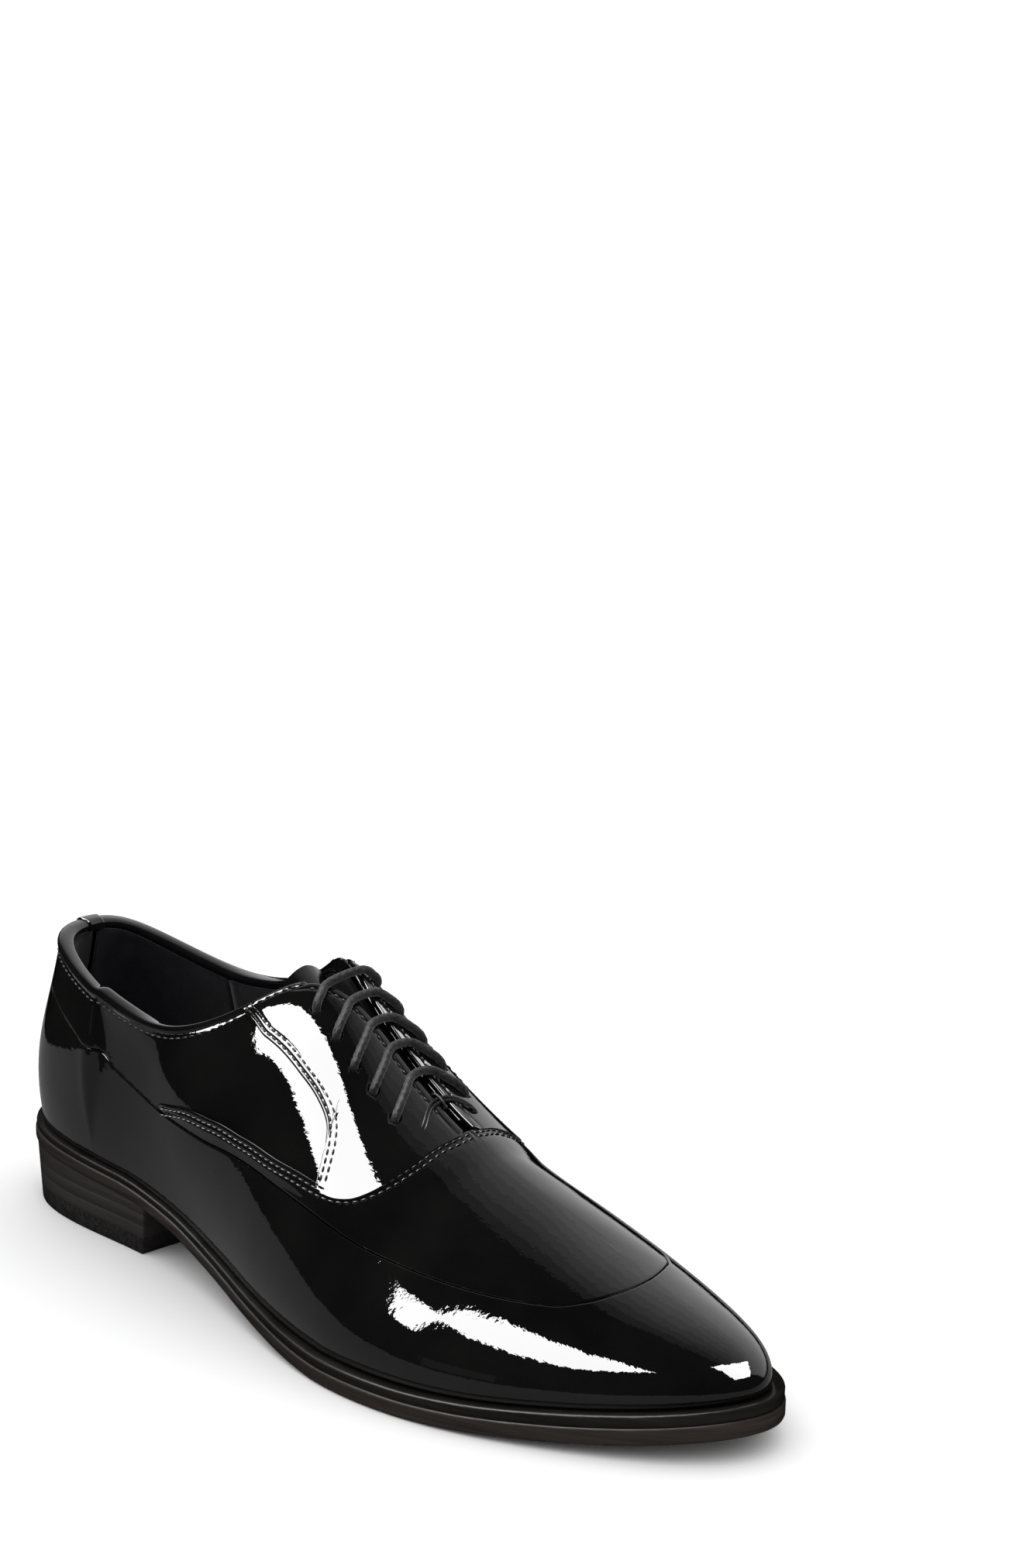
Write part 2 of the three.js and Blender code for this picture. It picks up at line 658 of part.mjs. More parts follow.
// ---------------------------------------------------------------- tongue
const tonguePoints = TONGUE_LINE.map(([x, z]) => new THREE.Vector3(x, GAP_CENTRE, z));
const tongueLine = new THREE.CatmullRomCurve3(tonguePoints);

function tongueSurface(depth) {
  return (t, y) => {
    const p = tongueLine.getPoint(t);
    const along = tongueLine.getTangent(t);
    const normal = new THREE.Vector3(along.z, 0, -along.x);
    const fall = (y < 0 ? TONGUE_FALL.lateral : TONGUE_FALL.medial) * y * y;
    const out = p.addScaledVector(normal, -depth - fall);
    out.y += y;
    return out;
  };
}

const TONGUE_GRID = [0.125, 5];

function tongue() {
  const shoulder = TONGUE_SHOULDER;
  const pieces = 6;
  const edge = ([start, slope]) => (t) => start + slope * t;
  const lateral = edge(TONGUE_EDGES.lateral);
  const medial = edge(TONGUE_EDGES.medial);
  const left = samples(0, shoulder, pieces, (t) => [t, lateral(t)]);
  const end = samples(0, 1, pieces, (u) => [
    shoulder + TONGUE_CROWN * Math.sin(Math.PI * u),
    lateral(shoulder) + u * (medial(shoulder) - lateral(shoulder)),
  ]);
  const right = samples(shoulder, 0, pieces, (t) => [t, medial(t)]);
  const polygon = [...left, ...end.slice(1, -1), ...right];
  return solidBetween(polygon, ...TONGUE_GRID, tongueSurface(TONGUE_THICKNESS), tongueSurface(0));
}

// ---------------------------------------------------------------- bottom
const OUTLINE_PIECES = 60;
const PLATE_GRID = [15, 400];
const WELT_GRID = [0.5, 20];
const outsoleTop = (x) => soleUnderside(x) + outsoleThickness(x);
const planFace = (height) => (x, y) => new THREE.Vector3(x, y, height(x));

function planPolygon(inset, fromX = -Infinity, toX = Infinity) {
  const edgeAt = (s) => insetEdge(s, inset(soleEdge(s).x)).toArray();
  const loop = samples(0, ROWS, OUTLINE_PIECES, edgeAt).slice(0, -1);
  let polygon = clipHalf(loop, 0, fromX, true);
  polygon = clipHalf(polygon, 0, toX, false);
  return area(polygon) < 0 ? polygon.reverse() : polygon;
}

function plate(polygon, low, high) {
  return solidBetween(polygon, ...PLATE_GRID, planFace(high), planFace(low));
}

function outsole() {
  return plate(planPolygon(() => 0), soleUnderside, outsoleTop);
}

const middleLow = (x) => outsoleTop(x) + GAP;
const middleHigh = (x) => featherHeight(x) - GAP;

function welt() {
  const ringFace = (height) => (s, inset) => {
    const edge = insetEdge(s, inset);
    return new THREE.Vector3(edge.x, edge.y, height(edge.x));
  };
  const outer = samples(0, ROWS, OUTLINE_PIECES, (s) => [s, WELT_SETBACK]);
  const inner = samples(ROWS, 0, OUTLINE_PIECES, (s) => [s, WELT_WIDTH]);
  return solidBetween([...outer, ...inner], ...WELT_GRID, ringFace(middleHigh), ringFace(middleLow));
}

function corkFiller() {
  return plate(planPolygon(() => CORK_INSET, CORK_START_X), middleLow, middleHigh);
}

function shank() {
  const [rear, front] = SHANK_X;
  const [right, left] = SHANK_Y;
  const polygon = [[rear, right], [front, right], [front, left], [rear, left]];
  return plate(polygon, (x) => middleLow(x) + SHANK_CLEARANCE, (x) => middleHigh(x) - SHANK_CLEARANCE);
}

const insoleInset = (x) => weltLedge(x) + INSOLE_INSET;

function insoleBoard() {
  return plate(planPolygon(insoleInset), featherHeight, (x) => featherHeight(x) + INSOLE_THICKNESS);
}

function sockLining() {
  const low = (x) => featherHeight(x) + INSOLE_THICKNESS + GAP;
  return plate(planPolygon((x) => insoleInset(x) + SOCK_INSET), low, (x) => featherHeight(x) + SOCK_TOP);
}

function heelLayer(low, high) {
  const polygon = planPolygon(() => HEEL_SETBACK, -Infinity, BREAST_X);
  const face = (height) => (x, y) => {
    const z = height(x);
    const narrow = 1 - HEEL_TAPER * (1 - z / soleUnderside(x));
    const shiftX = HEEL_CENTRE[0] + (x - HEEL_CENTRE[0]) * narrow;
    return new THREE.Vector3(shiftX, HEEL_CENTRE[1] + (y - HEEL_CENTRE[1]) * narrow, z);
  };
  return solidBetween(polygon, ...PLATE_GRID, face(high), face(low));
}

// ---------------------------------------------------------------- eyelets and laces
function eyelet([s, v]) {
  const { centre, turn } = holeFrame(s, v);
  const top = EYELET_TOP;
  const inside = EYELET_INSIDE;
  const end = inside - FLANGE_THICKNESS;
  const outline = [
    [EYELET_BORE, top], [EYELET_BORE, end], [EYELET_FLANGE, end], [EYELET_FLANGE, inside],
    [EYELET_RADIUS, inside], [EYELET_RADIUS, top], [EYELET_BORE, top],
  ];
  const barrel = new THREE.LatheGeometry(outline.map(([r, h]) => new THREE.Vector2(r, h)), TUBE_SIDES);
  barrel.rotateX(Math.PI / 2);
  barrel.applyQuaternion(turn);
  barrel.translate(centre.x, centre.y, centre.z);
  return toManifold(barrel).volume() < 0 ? flipped(welded(barrel)) : barrel;
}

function holePoint([s, v], height) {
  const { centre, normal } = holeFrame(s, v);
  return centre.addScaledVector(normal, height);
}

// Lace over the gap from one hole to the one across it.
function barPoints(from, to) {
  const shoulder = ([s, v]) => (
    onUpper(LACE_OVER)(s, v + LACE_SHOULDER * (facingEdge(s, FACING_GAP) - v))
  );
  const near = shoulder(from);
  const far = shoulder(to);
  const middle = near.clone().lerp(far, 0.5);
  return [holePoint(from, LACE_OVER), near, middle, far, holePoint(to, LACE_OVER)];
}

// Lace under the facing from one hole to another on the same side, passing beside the rest.
function underPoints(from, to, sidestep) {
  return [0.3, 0.5, 0.7].map((t) => {
    const s = from[0] + (to[0] - from[0]) * t;
    const v = from[1] + (to[1] - from[1]) * t - LACE_STEP_RISE * sidestep;
    return onUpper(LACE_UNDER)(s, v);
  });
}

// Where the laced part of the lace ends, inside and just below its last eyelet.
const tailStart = ([s, v]) => onUpper(LACE_UNDER + 1)(s, v - TAIL_DROP);

function lacePoints() {
  const L = holesOn("lateral");
  const R = holesOn("medial");
  const points = [tailStart(L[4]), holePoint(L[4], LACE_UNDER)];
  const through = (hole) => points.push(holePoint(hole, -1));
  const bar = (from, to) => {
    through(from);
    points.push(...barPoints(from, to));
    through(to);
  };
  const under = (from, to, sidestep) => {
    points.push(holePoint(from, LACE_UNDER + 0.3));
    points.push(...underPoints(from, to, sidestep));
    points.push(holePoint(to, LACE_UNDER + 0.3));
  };
  bar(L[4], R[4]);
  under(R[4], R[2], LACE_SIDESTEP);
  bar(R[2], L[2]);
  under(L[2], L[0], LACE_SIDESTEP);
  bar(L[0], R[0]);
  under(R[0], R[1], 0);
  bar(R[1], L[1]);
  under(L[1], L[3], -LACE_SIDESTEP);
  bar(L[3], R[3]);
  points.push(holePoint(R[3], LACE_UNDER), tailStart(R[3]));
  return points;
}

const TUBE_SIDES = 8;
const THREAD_SIDES = 6;
const LACE_STEPS = 120;
const TAIL_STEPS = 40;
const TACK_STEPS = 10;

function tube(points, radius, steps, sides = TUBE_SIDES) {
  const section = new THREE.Shape(samples(0, 2 * Math.PI, sides, (a) => (
    new THREE.Vector2(radius * Math.cos(a), radius * Math.sin(a))
  )).slice(0, -1));
  const path = new THREE.CatmullRomCurve3(points, false, "centripetal");
  return new THREE.ExtrudeGeometry(section, { steps, bevelEnabled: false, extrudePath: path });
}

const routePoints = (route) => route.map((p) => new THREE.Vector3(...p));
const lateralTail = () => tube(routePoints(LATERAL_TAIL), LACE_RADIUS, TAIL_STEPS);
const medialTail = () => tube(routePoints(MEDIAL_TAIL), LACE_RADIUS, TAIL_STEPS);

// Metal tip on a lace end, a little beyond the last point of its route.
function aglet(route, endPoint) {
  const start = new THREE.Vector3(...route[route.length - 1]);
  const end = new THREE.Vector3(...endPoint);
  const along = end.clone().sub(start).normalize();
  const length = start.distanceTo(end) - 2 * GAP;
  const barrel = new THREE.CylinderGeometry(AGLET_RADIUS, AGLET_RADIUS, length, ROUND_SIDES);
  barrel.applyQuaternion(new THREE.Quaternion().setFromUnitVectors(new THREE.Vector3(0, 1, 0), along));
  const centre = end.addScaledVector(along, -length / 2);
  barrel.translate(centre.x, centre.y, centre.z);
  return barrel;
}

// Thread bar that ties the two facings together at the throat.
function throatTack() {
  const lift = OVERLAY.outer + TACK_RADIUS + GAP;
  const at = (row, v) => onUpper(lift)(row, v);
  const [row, v] = TACK_HOLE;
  const shoulder = v + LACE_SHOULDER * (facingEdge(row, FACING_GAP) - v);
  const points = [at(row, v), at(row, shoulder), at(ROWS - row, shoulder), at(ROWS - row, v)];
  return tube(points, TACK_RADIUS, TACK_STEPS, THREAD_SIDES);
}

// ---------------------------------------------------------------- assembly
const leather = () => new THREE.MeshStandardMaterial({ color: 0x0b0b0c, roughness: 0.12, metalness: 0 });
const lining = () => new THREE.MeshStandardMaterial({ color: 0x14151a, roughness: 0.9, metalness: 0 });
const board = () => new THREE.MeshStandardMaterial({ color: 0x6b5a48, roughness: 0.9, metalness: 0 });
const soleLeather = () => new THREE.MeshStandardMaterial({ color: 0x2a211d, roughness: 0.5, metalness: 0 });
const heelLeather = () => new THREE.MeshStandardMaterial({ color: 0x1c1a19, roughness: 0.5, metalness: 0 });
const rubber = () => new THREE.MeshStandardMaterial({ color: 0x141414, roughness: 0.8, metalness: 0 });
const cotton = () => new THREE.MeshStandardMaterial({ color: 0x111112, roughness: 0.7, metalness: 0 });
const cork = () => new THREE.MeshStandardMaterial({ color: 0xa07a50, roughness: 0.95, metalness: 0 });
const steel = () => new THREE.MeshStandardMaterial({ color: 0x9a9a9a, roughness: 0.35, metalness: 1 });
const brass = () => new THREE.MeshStandardMaterial({ color: 0x2a2a2a, roughness: 0.4, metalness: 1 });

const shoe = new THREE.Group();
const body = new THREE.Group();
body.position.set(-ORIGIN_X, -ORIGIN_Y, 0);
shoe.add(body);

function add(name, geometry, material) {
  const mesh = new THREE.Mesh(geometry, material);
  mesh.name = name;
  body.add(mesh);
}

add("outsole", outsole(), soleLeather());
add("welt", welt(), soleLeather());
add("cork_filler", corkFiller(), cork());
add("shank", shank(), steel());
add("insole_board", insoleBoard(), board());
add("sock_lining", sockLining(), lining());
add("heel_top_piece", heelLayer(() => 0, () => HEEL_JOINTS[1] - GAP), rubber());
add("heel_lift_1", heelLayer(() => HEEL_JOINTS[1], () => HEEL_JOINTS[2] - GAP), heelLeather());
add("heel_lift_2", heelLayer(() => HEEL_JOINTS[2], () => HEEL_JOINTS[3] - GAP), heelLeather());
add("heel_base", heelLayer(() => HEEL_JOINTS[3], (x) => soleUnderside(x) - GAP), heelLeather());

add("foxing", foxing(), leather());
add("vamp", vamp(), leather());
for (const side of ["lateral", "medial"]) {
  const holes = holesOn(side);
  const panel = (outline, layer) => withHoles(upperPanel(onSide(side, outline), layer), holes);
  add(`quarter_${side}`, panel(quarterOutline, OUTER), leather());
  add(`facing_${side}`, panel(facingOutline, OVERLAY), leather());
  add(`facing_stay_${side}`, panel(stayOutline, STIFFENER), board());
  add(`quarter_lining_${side}`, panel(quarterLiningOutline, LINING), lining());
  holes.forEach((hole, i) => add(`eyelet_${side}_${i + 1}`, eyelet(hole), brass()));
}
add("backstay", backstay(), leather());
add("topline_binding", toplineBinding(), leather());
add("tongue", tongue(), leather());
add("heel_counter", heelCounter(), board());
add("toe_puff", toePuff(), board());
add("heel_grip_lining", heelGripLining(), lining());
add("vamp_lining", vampLining(), lining());
add("throat_tack", throatTack(), cotton());
add("lace_tail_lateral", lateralTail(), cotton());
add("lace_tail_medial", medialTail(), cotton());
add("aglet_lateral", aglet(LATERAL_TAIL, LATERAL_AGLET_END), brass());
add("aglet_medial", aglet(MEDIAL_TAIL, MEDIAL_AGLET_END), brass());
add("lace", tube(lacePoints(), LACE_RADIUS, LACE_STEPS), cotton());

export default shoe;
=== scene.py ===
import json
import math

import bmesh
import bpy
import numpy as np
from mathutils import Euler, Matrix, Vector

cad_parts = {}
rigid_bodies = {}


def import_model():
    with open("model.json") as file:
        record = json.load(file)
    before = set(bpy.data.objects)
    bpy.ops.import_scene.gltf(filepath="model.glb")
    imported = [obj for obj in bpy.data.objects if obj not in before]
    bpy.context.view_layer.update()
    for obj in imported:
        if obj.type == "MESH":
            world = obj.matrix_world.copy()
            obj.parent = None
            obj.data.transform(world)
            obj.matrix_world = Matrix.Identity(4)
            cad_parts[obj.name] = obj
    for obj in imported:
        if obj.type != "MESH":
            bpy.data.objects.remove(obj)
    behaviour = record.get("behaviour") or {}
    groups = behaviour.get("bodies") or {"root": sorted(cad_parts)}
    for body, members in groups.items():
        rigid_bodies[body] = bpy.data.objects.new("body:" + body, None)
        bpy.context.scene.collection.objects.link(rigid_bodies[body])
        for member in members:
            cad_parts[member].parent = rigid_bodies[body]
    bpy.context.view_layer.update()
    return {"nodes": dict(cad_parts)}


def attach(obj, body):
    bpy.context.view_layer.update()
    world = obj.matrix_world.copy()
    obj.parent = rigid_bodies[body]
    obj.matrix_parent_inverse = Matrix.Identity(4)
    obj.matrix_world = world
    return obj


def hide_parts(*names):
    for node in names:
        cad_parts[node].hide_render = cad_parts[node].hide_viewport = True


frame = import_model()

# A right-foot black patent leather oxford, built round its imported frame. The tables below are in
# millimetres, in the shoe's own rows: x runs from the heel back to the toe, +y is the medial side.
MM = 0.001
HEEL_TO_ORIGIN = np.array([150.35, -5.0, 0.0])

# ---------------------------------------------------------------- the shoe's surface
# One row a rib, from the heel round to the toe: the sole's edge as (x, y), then the upper's top as (x, y, z).
LATERAL_EDGE = [
    (-1, 1), (4, -14), (18, -25.5), (40, -29.5), (64, -29.5), (88, -31.5), (112, -37), (136, -45),
    (160, -52.5), (184, -57.5), (208, -57), (232, -51.5), (256, -41), (278, -28.5), (294.5, -14.5),
    (302.5, 2),
]
MEDIAL_EDGE = [
    (-1, 1), (4, 16), (18, 27), (40, 31), (64, 29), (88, 26), (112, 26), (136, 30.5), (160, 38),
    (184, 45), (208, 48), (232, 45.5), (256, 37.5), (278, 27.5), (294.5, 16.5), (302.5, 2),
]
LATERAL_TOPLINE = [
    (11, 1, 85.5), (13.5, -11, 85.5), (23, -20, 84), (41, -26, 79),
    (62, -29, 75), (84, -28, 73), (104, -19, 83), (119, -6, 96),
]
MEDIAL_TOPLINE = [
    (11, 1, 85.5), (13.5, 13, 84.5), (23, 22, 79), (41, 26, 74.5),
    (62, 26, 73.5), (84, 24, 78), (104, 17, 89), (119, 8, 100),
]
RIDGE = [
    (134, 0.8, 92.5), (152, 1, 78.5), (172, 1.5, 64.5), (194, 2.5, 56),
    (215, 3, 50), (232, 3, 44.5), (238, 3, 42.7), (238, 3, 42.7),
]
# Fullness of each rib: out and up at the feather edge, out and down at the top end.
LATERAL_FULLNESS = [
    (4, 26, 3, 24), (4, 26, 3, 24), (5, 26, 4, 22), (6, 26, 5, 20),
    (5, 26, 7, 20), (4, 26, 13, 18), (5, 26, 22, 12), (7, 26, 25, 6),
    (8, 24, 26, 2), (8, 22, 27, 1), (8, 20, 26, 0), (7, 18, 24, 0),
    (6, 16, 22, 0), (5, 15, 22, 0), (4, 15, 26, 0), (3.5, 15, 29, 0),
]
MEDIAL_FULLNESS = [
    (4, 26, 3, 24), (4, 26, 3, 24), (5, 26, 3, 22), (5, 26, 3, 20),
    (4, 28, 5, 20), (3, 30, 8, 18), (2, 32, 12, 12), (3, 30, 15, 6),
    (5, 26, 18, 2), (6, 23, 20, 1), (6, 20, 20, 0), (6, 18, 20, 0),
    (5, 16, 20, 0), (5, 15, 22, 0), (4, 15, 26, 0), (3.5, 15, 29, 0),
]
TOE_ROW = len(LATERAL_EDGE) - 1
ROWS = 2 * TOE_ROW
FIRST_RIDGE_ROW = len(LATERAL_TOPLINE)

# Heights along the shoe, as (x, height).
SOLE_UNDERSIDE = [
    (-9, 19), (0, 19), (60, 17), (85, 13.5), (110, 8.5), (140, 3.5), (165, 0.8),
    (180, 0), (210, 0), (228, 0.5), (250, 1.9), (275, 4.3), (310, 9.2),
]
BOTTOM_THICKNESS = [(-9, 6.5), (66, 6), (120, 6.3), (180, 7.6), (228, 8.2), (275, 9), (310, 9.3)]
OUTSOLE_THICKNESS = [(-9, 3.9), (120, 3.8), (200, 4.8), (310, 5.4)]
WELT_LEDGE = [(-9, 2.4), (60, 2.4), (90, 2.2), (130, 2.6), (170, 3.6), (220, 4.2), (310, 4.4)]

# Seams, as (row, height up the rib from 0 at the feather edge to 1 at the top).
HEEL_SEAM = [
    (0, 0.78), (1.9, 0.755), (2.7, 0.72), (3.3, 0.66), (3.75, 0.58), (4.5, 0.5), (5.2, 0.47),
    (6.1, 0.42), (7.55, 0.382),
]
LATERAL_SEAM = HEEL_SEAM + [
    (8.8, 0.405), (10, 0.438), (11, 0.453), (12, 0.493), (12.5, 0.558), (13, 0.649), (13.5, 0.731),
    (14, 0.787), (14.5, 0.816), (15, 0.826),
]
MEDIAL_SEAM = HEEL_SEAM + [
    (8.2, 0.395), (8.8, 0.435), (9.3, 0.5), (9.8, 0.552), (10.3, 0.57), (11, 0.55), (11.5, 0.535),
    (12, 0.552), (12.5, 0.613), (13, 0.701), (13.5, 0.768), (14, 0.807), (14.5, 0.824), (15, 0.826),
]
VAMP_SEAM = [
    (4.6, 0.505), (4.75, 0.545), (5.25, 0.572), (6, 0.518), (6.75, 0.462), (7.45, 0.442),
    (8.1, 0.457), (8.67, 0.487), (8.97, 0.52), (9.27, 0.58), (9.69, 0.709), (10, 0.84),
    (10.19, 0.915), (10.36, 1),
]
FACING_REAR = [
    (6.03, 1), (6.4, 0.87), (6.77, 0.764), (7.53, 0.668), (8.04, 0.633), (8.28, 0.606),
    (8.37, 0.56), (8.39, 0.48),
]
GAP_CENTRE = 0.9
HALF_GAP = 1.3
LACE_HOLES = [(9.28, 0.789), (8.83, 0.789), (8.42, 0.789), (7.98, 0.814), (7.5, 0.859)]
TACK_HOLE = (9.73, 0.834)


def norm(vectors):
    return np.linalg.norm(vectors, axis=-1, keepdims=True)


def unit(vectors):
    return vectors / norm(vectors)


def ring(lateral, medial):
    return np.array(lateral + medial[1:TOE_ROW][::-1], float)


def blend_rows(rows, s):
    """Closed uniform cubic B-spline through rows of numbers."""
    base = np.floor(s).astype(int)
    f = s - base
    weights = (
        (1 - f) ** 3 / 6,
        (3 * f ** 3 - 6 * f ** 2 + 4) / 6,
        (-3 * f ** 3 + 3 * f ** 2 + 3 * f + 1) / 6,
        f ** 3 / 6,
    )
    return sum(w[..., None] * rows[(base + k - 1) % ROWS] for k, w in enumerate(weights))


def profile(points):
    """Monotone cubic through (x, y) points."""
    x, y = np.array(points, float).T
    secant = np.diff(y) / np.diff(x)
    product = secant[:-1] * secant[1:]
    total = secant[:-1] + secant[1:]
    inner = np.where(product > 0, 2 * product / np.where(product > 0, total, 1), 0)
    slope = np.concatenate([secant[:1], inner, secant[-1:]])

    def value(at):
        at = np.clip(np.asarray(at, float), x[0], x[-1])
        i = np.clip(np.searchsorted(x, at) - 1, 0, len(x) - 2)
        width = x[i + 1] - x[i]
        t = (at - x[i]) / width
        a = 2 * t ** 3 - 3 * t ** 2 + 1
        b = t ** 3 - 2 * t ** 2 + t
        d = t ** 3 - t ** 2
        return a * y[i] + b * width * slope[i] + (1 - a) * y[i + 1] + d * width * slope[i + 1]

    return value


EDGE_RING = ring(LATERAL_EDGE, MEDIAL_EDGE)
TOP_RING = ring(LATERAL_TOPLINE + RIDGE, MEDIAL_TOPLINE + RIDGE)
FULLNESS_RING = ring(LATERAL_FULLNESS, MEDIAL_FULLNESS)
sole_underside = profile(SOLE_UNDERSIDE)
bottom_thickness = profile(BOTTOM_THICKNESS)
outsole_thickness = profile(OUTSOLE_THICKNESS)
welt_ledge = profile(WELT_LEDGE)
lateral_seam_row = profile(LATERAL_SEAM)
medial_seam_row = profile(MEDIAL_SEAM)
vamp_seam_row = profile(VAMP_SEAM)
facing_rear_row = profile(FACING_REAR)


def ridge_slopes():
    points = RIDGE[:-2]
    last = len(points) - 1
    slopes = []
    for i, point in enumerate(points):
        before = points[max(0, i - 1)]
        after = points[min(last, i + 1)]
        slopes.append((point[0], (after[2] - before[2]) / (after[0] - before[0])))
    return slopes


ridge_slope = profile(ridge_slopes())


def smoothstep(x, low, high):
    t = np.clip((x - low) / (high - low), 0, 1)
    return t * t * (3 - 2 * t)


def row_of(s):
    """Distance from the heel in rows, the same on both sides."""
    wrapped = np.mod(s, ROWS)
    return np.minimum(wrapped, ROWS - wrapped)


def sole_edge(s):
    return blend_rows(EDGE_RING, np.asarray(s, float))


def sole_normal(s):
    step = 0.001
    along = unit(sole_edge(s + step) - sole_edge(s - step))
    return np.stack([along[..., 1], -along[..., 0]], -1)


def inset_edge(s, distance):
    return sole_edge(s) - sole_normal(s) * distance


def feather_height(x):
    return sole_underside(x) + bottom_thickness(x)


def feather_point(s):
    edge = sole_edge(s)
    inner = edge - sole_normal(s) * welt_ledge(edge[..., 0])[..., None]
    return np.concatenate([inner, feather_height(inner[..., :1])], -1)


def upper_point(s, v):
    """Point of the upper's outer face, in millimetres: s is the rib, v the height up it."""
    s, v = np.broadcast_arrays(np.asarray(s, float), np.asarray(v, float))
    foot = feather_point(s)
    top = blend_rows(TOP_RING, s)
    foot_out, foot_up, top_out, top_down = np.moveaxis(blend_rows(FULLNESS_RING, s), -1, 0)
    normal = sole_normal(s)
    away = unit(foot[..., :2] - top[..., :2])
    slope = ridge_slope(top[..., 0]) * smoothstep(row_of(s), FIRST_RIDGE_ROW - 1, FIRST_RIDGE_ROW + 2)
    low = foot + np.concatenate([normal * foot_out[..., None], foot_up[..., None]], -1)
    drop = slope * away[..., 0] * top_out - top_down
    high = top + np.concatenate([away * top_out[..., None], drop[..., None]], -1)
    v = v[..., None]
    return (1 - v) ** 3 * foot + 3 * (1 - v) ** 2 * v * low + 3 * (1 - v) * v * v * high + v ** 3 * top


def upper_normal(s, v):
    s, v = np.broadcast_arrays(np.asarray(s, float), np.asarray(v, float))
    step = 0.002
    along = upper_point(s + step, v) - upper_point(s - step, v)
    up = upper_point(s, np.minimum(1, v + step)) - upper_point(s, np.maximum(0, v - step))
    normal = np.cross(along, up)
    slope = ridge_slope(blend_rows(TOP_RING, s)[..., 0])
    ridge = np.stack([-slope, np.zeros_like(slope), np.ones_like(slope)], -1)
    on_ridge = (v > 0.9995) & (row_of(s) > FIRST_RIDGE_ROW + 1)
    return unit(np.where(on_ridge[..., None], ridge, normal))


def on_upper(s, v, offset):
    return upper_point(s, v) + upper_normal(s, v) * np.asarray(offset, float)[..., None]


def height_where(s, low, high, keep_going):
    """Bisects each rib for the height where keep_going(point) stops being true."""
    s = np.asarray(s, float)
    low = np.full(s.shape, low, float)
    high = np.full(s.shape, high, float)
    for _ in range(24):
        middle = (low + high) / 2
        further = keep_going(upper_point(s, middle))
        low = np.where(further, middle, low)
        high = np.where(further, high, middle)
    return low


def topline_edge(s, trim=2.4):
    top = upper_point(s, 1.0)
    return height_where(s, 0.7, 1.0, lambda p: np.linalg.norm(p - top, axis=-1) > trim)


def facing_edge(s, half_gap=HALF_GAP):
    s = np.asarray(s, float)
    side = np.where(upper_point(s, 0.5)[..., 1] < 0, -1.0, 1.0)
    found = height_where(s, 0.5, 1.0, lambda p: (p[..., 1] - GAP_CENTRE) * side > half_gap)
    open_top = (upper_point(s, 1.0)[..., 1] - GAP_CENTRE) * side > half_gap
    trimmed = topline_edge(s)
    return np.where(open_top, trimmed, np.minimum(found, trimmed))


def foxing_seam(s):
    row = row_of(s)
    return np.where(np.asarray(s) > TOE_ROW, medial_seam_row(row), lateral_seam_row(row))


def vamp_seam(s):
    return np.minimum(1.0, vamp_seam_row(row_of(s)))


# ---------------------------------------------------------------- mesh helpers
NEAREST_BLOCK = 1500


def to_frame(points):
    return (np.asarray(points, float) - HEEL_TO_ORIGIN) * MM


def finish_mesh(name, points, faces, material, body="shoe", merge=0.0):
    """A closed mesh piece from points in millimetres, riding on a CAD body."""
    mesh = bpy.data.meshes.new(name)
    mesh.from_pydata(to_frame(points).tolist(), [], faces)
    work = bmesh.new()
    work.from_mesh(mesh)
    if merge:
        bmesh.ops.remove_doubles(work, verts=work.verts, dist=merge * MM)
    bmesh.ops.recalc_face_normals(work, faces=work.faces)
    for face in work.faces:
        face.smooth = True
    work.to_mesh(mesh)
    work.free()
    mesh.materials.append(material)
    piece = bpy.data.objects.new(name, mesh)
    bpy.context.scene.collection.objects.link(piece)
    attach(piece, body)
    return piece


def grid_faces(rows, columns, start=0, wrap_rows=False, wrap_columns=False):
    faces = []
    for i in range(rows if wrap_rows else rows - 1):
        for j in range(columns if wrap_columns else columns - 1):
            a = start + i * columns + j
            b = start + i * columns + (j + 1) % columns
            c = start + ((i + 1) % rows) * columns + (j + 1) % columns
            d = start + ((i + 1) % rows) * columns + j
            faces.append((a, b, c, d))
    return faces


def solid_faces(stations, corners, start=0):
    """Faces that join rings of points into a solid, with a flat face over each end."""
    faces = grid_faces(stations, corners, start=start, wrap_columns=True)
    faces.append(tuple(start + k for k in range(corners)))
    faces.append(tuple(start + (stations - 1) * corners + k for k in reversed(range(corners))))
    return faces


def sweep(name, rings, material, closed=False, body="shoe"):
    """A closed solid from rings of points (station, corner, xyz), capped unless it closes on itself."""
    stations, corners = rings.shape[:2]
    if closed:
        faces = grid_faces(stations, corners, wrap_rows=True, wrap_columns=True)
    else:
        faces = solid_faces(stations, corners)
    return finish_mesh(name, rings.reshape(-1, 3), faces, material, body=body)


def thread_piece(name, solids):
    """One piece of thread from many capped solids, each given as rings of points."""
    points, faces = [], []
    for solid in solids:
        faces.extend(solid_faces(*solid.shape[:2], start=len(points)))
        points.extend(solid.reshape(-1, 3))
    return finish_mesh(name, points, faces, THREAD)


def nearest(points, curve):
    """Distance from each point to a densely sampled curve."""
    flat = points.reshape(-1, 3)
    out = np.empty(len(flat))
    for start in range(0, len(flat), NEAREST_BLOCK):
        block = flat[start:start + NEAREST_BLOCK]
        gaps = ((block[:, None] - curve[None]) ** 2).sum(-1)
        out[start:start + NEAREST_BLOCK] = np.sqrt(gaps.min(1))
    return out.reshape(points.shape[:-1])


def lengths_along(points):
    """Length of a line from its first point to each of its points."""
    return np.concatenate([[0], np.cumsum(np.linalg.norm(np.diff(points, axis=0), axis=-1))])


def read_at(at, stations, values):
    """Rows of numbers, read in proportion between their stations."""
    return np.stack([np.interp(at, stations, column) for column in values.T], -1)


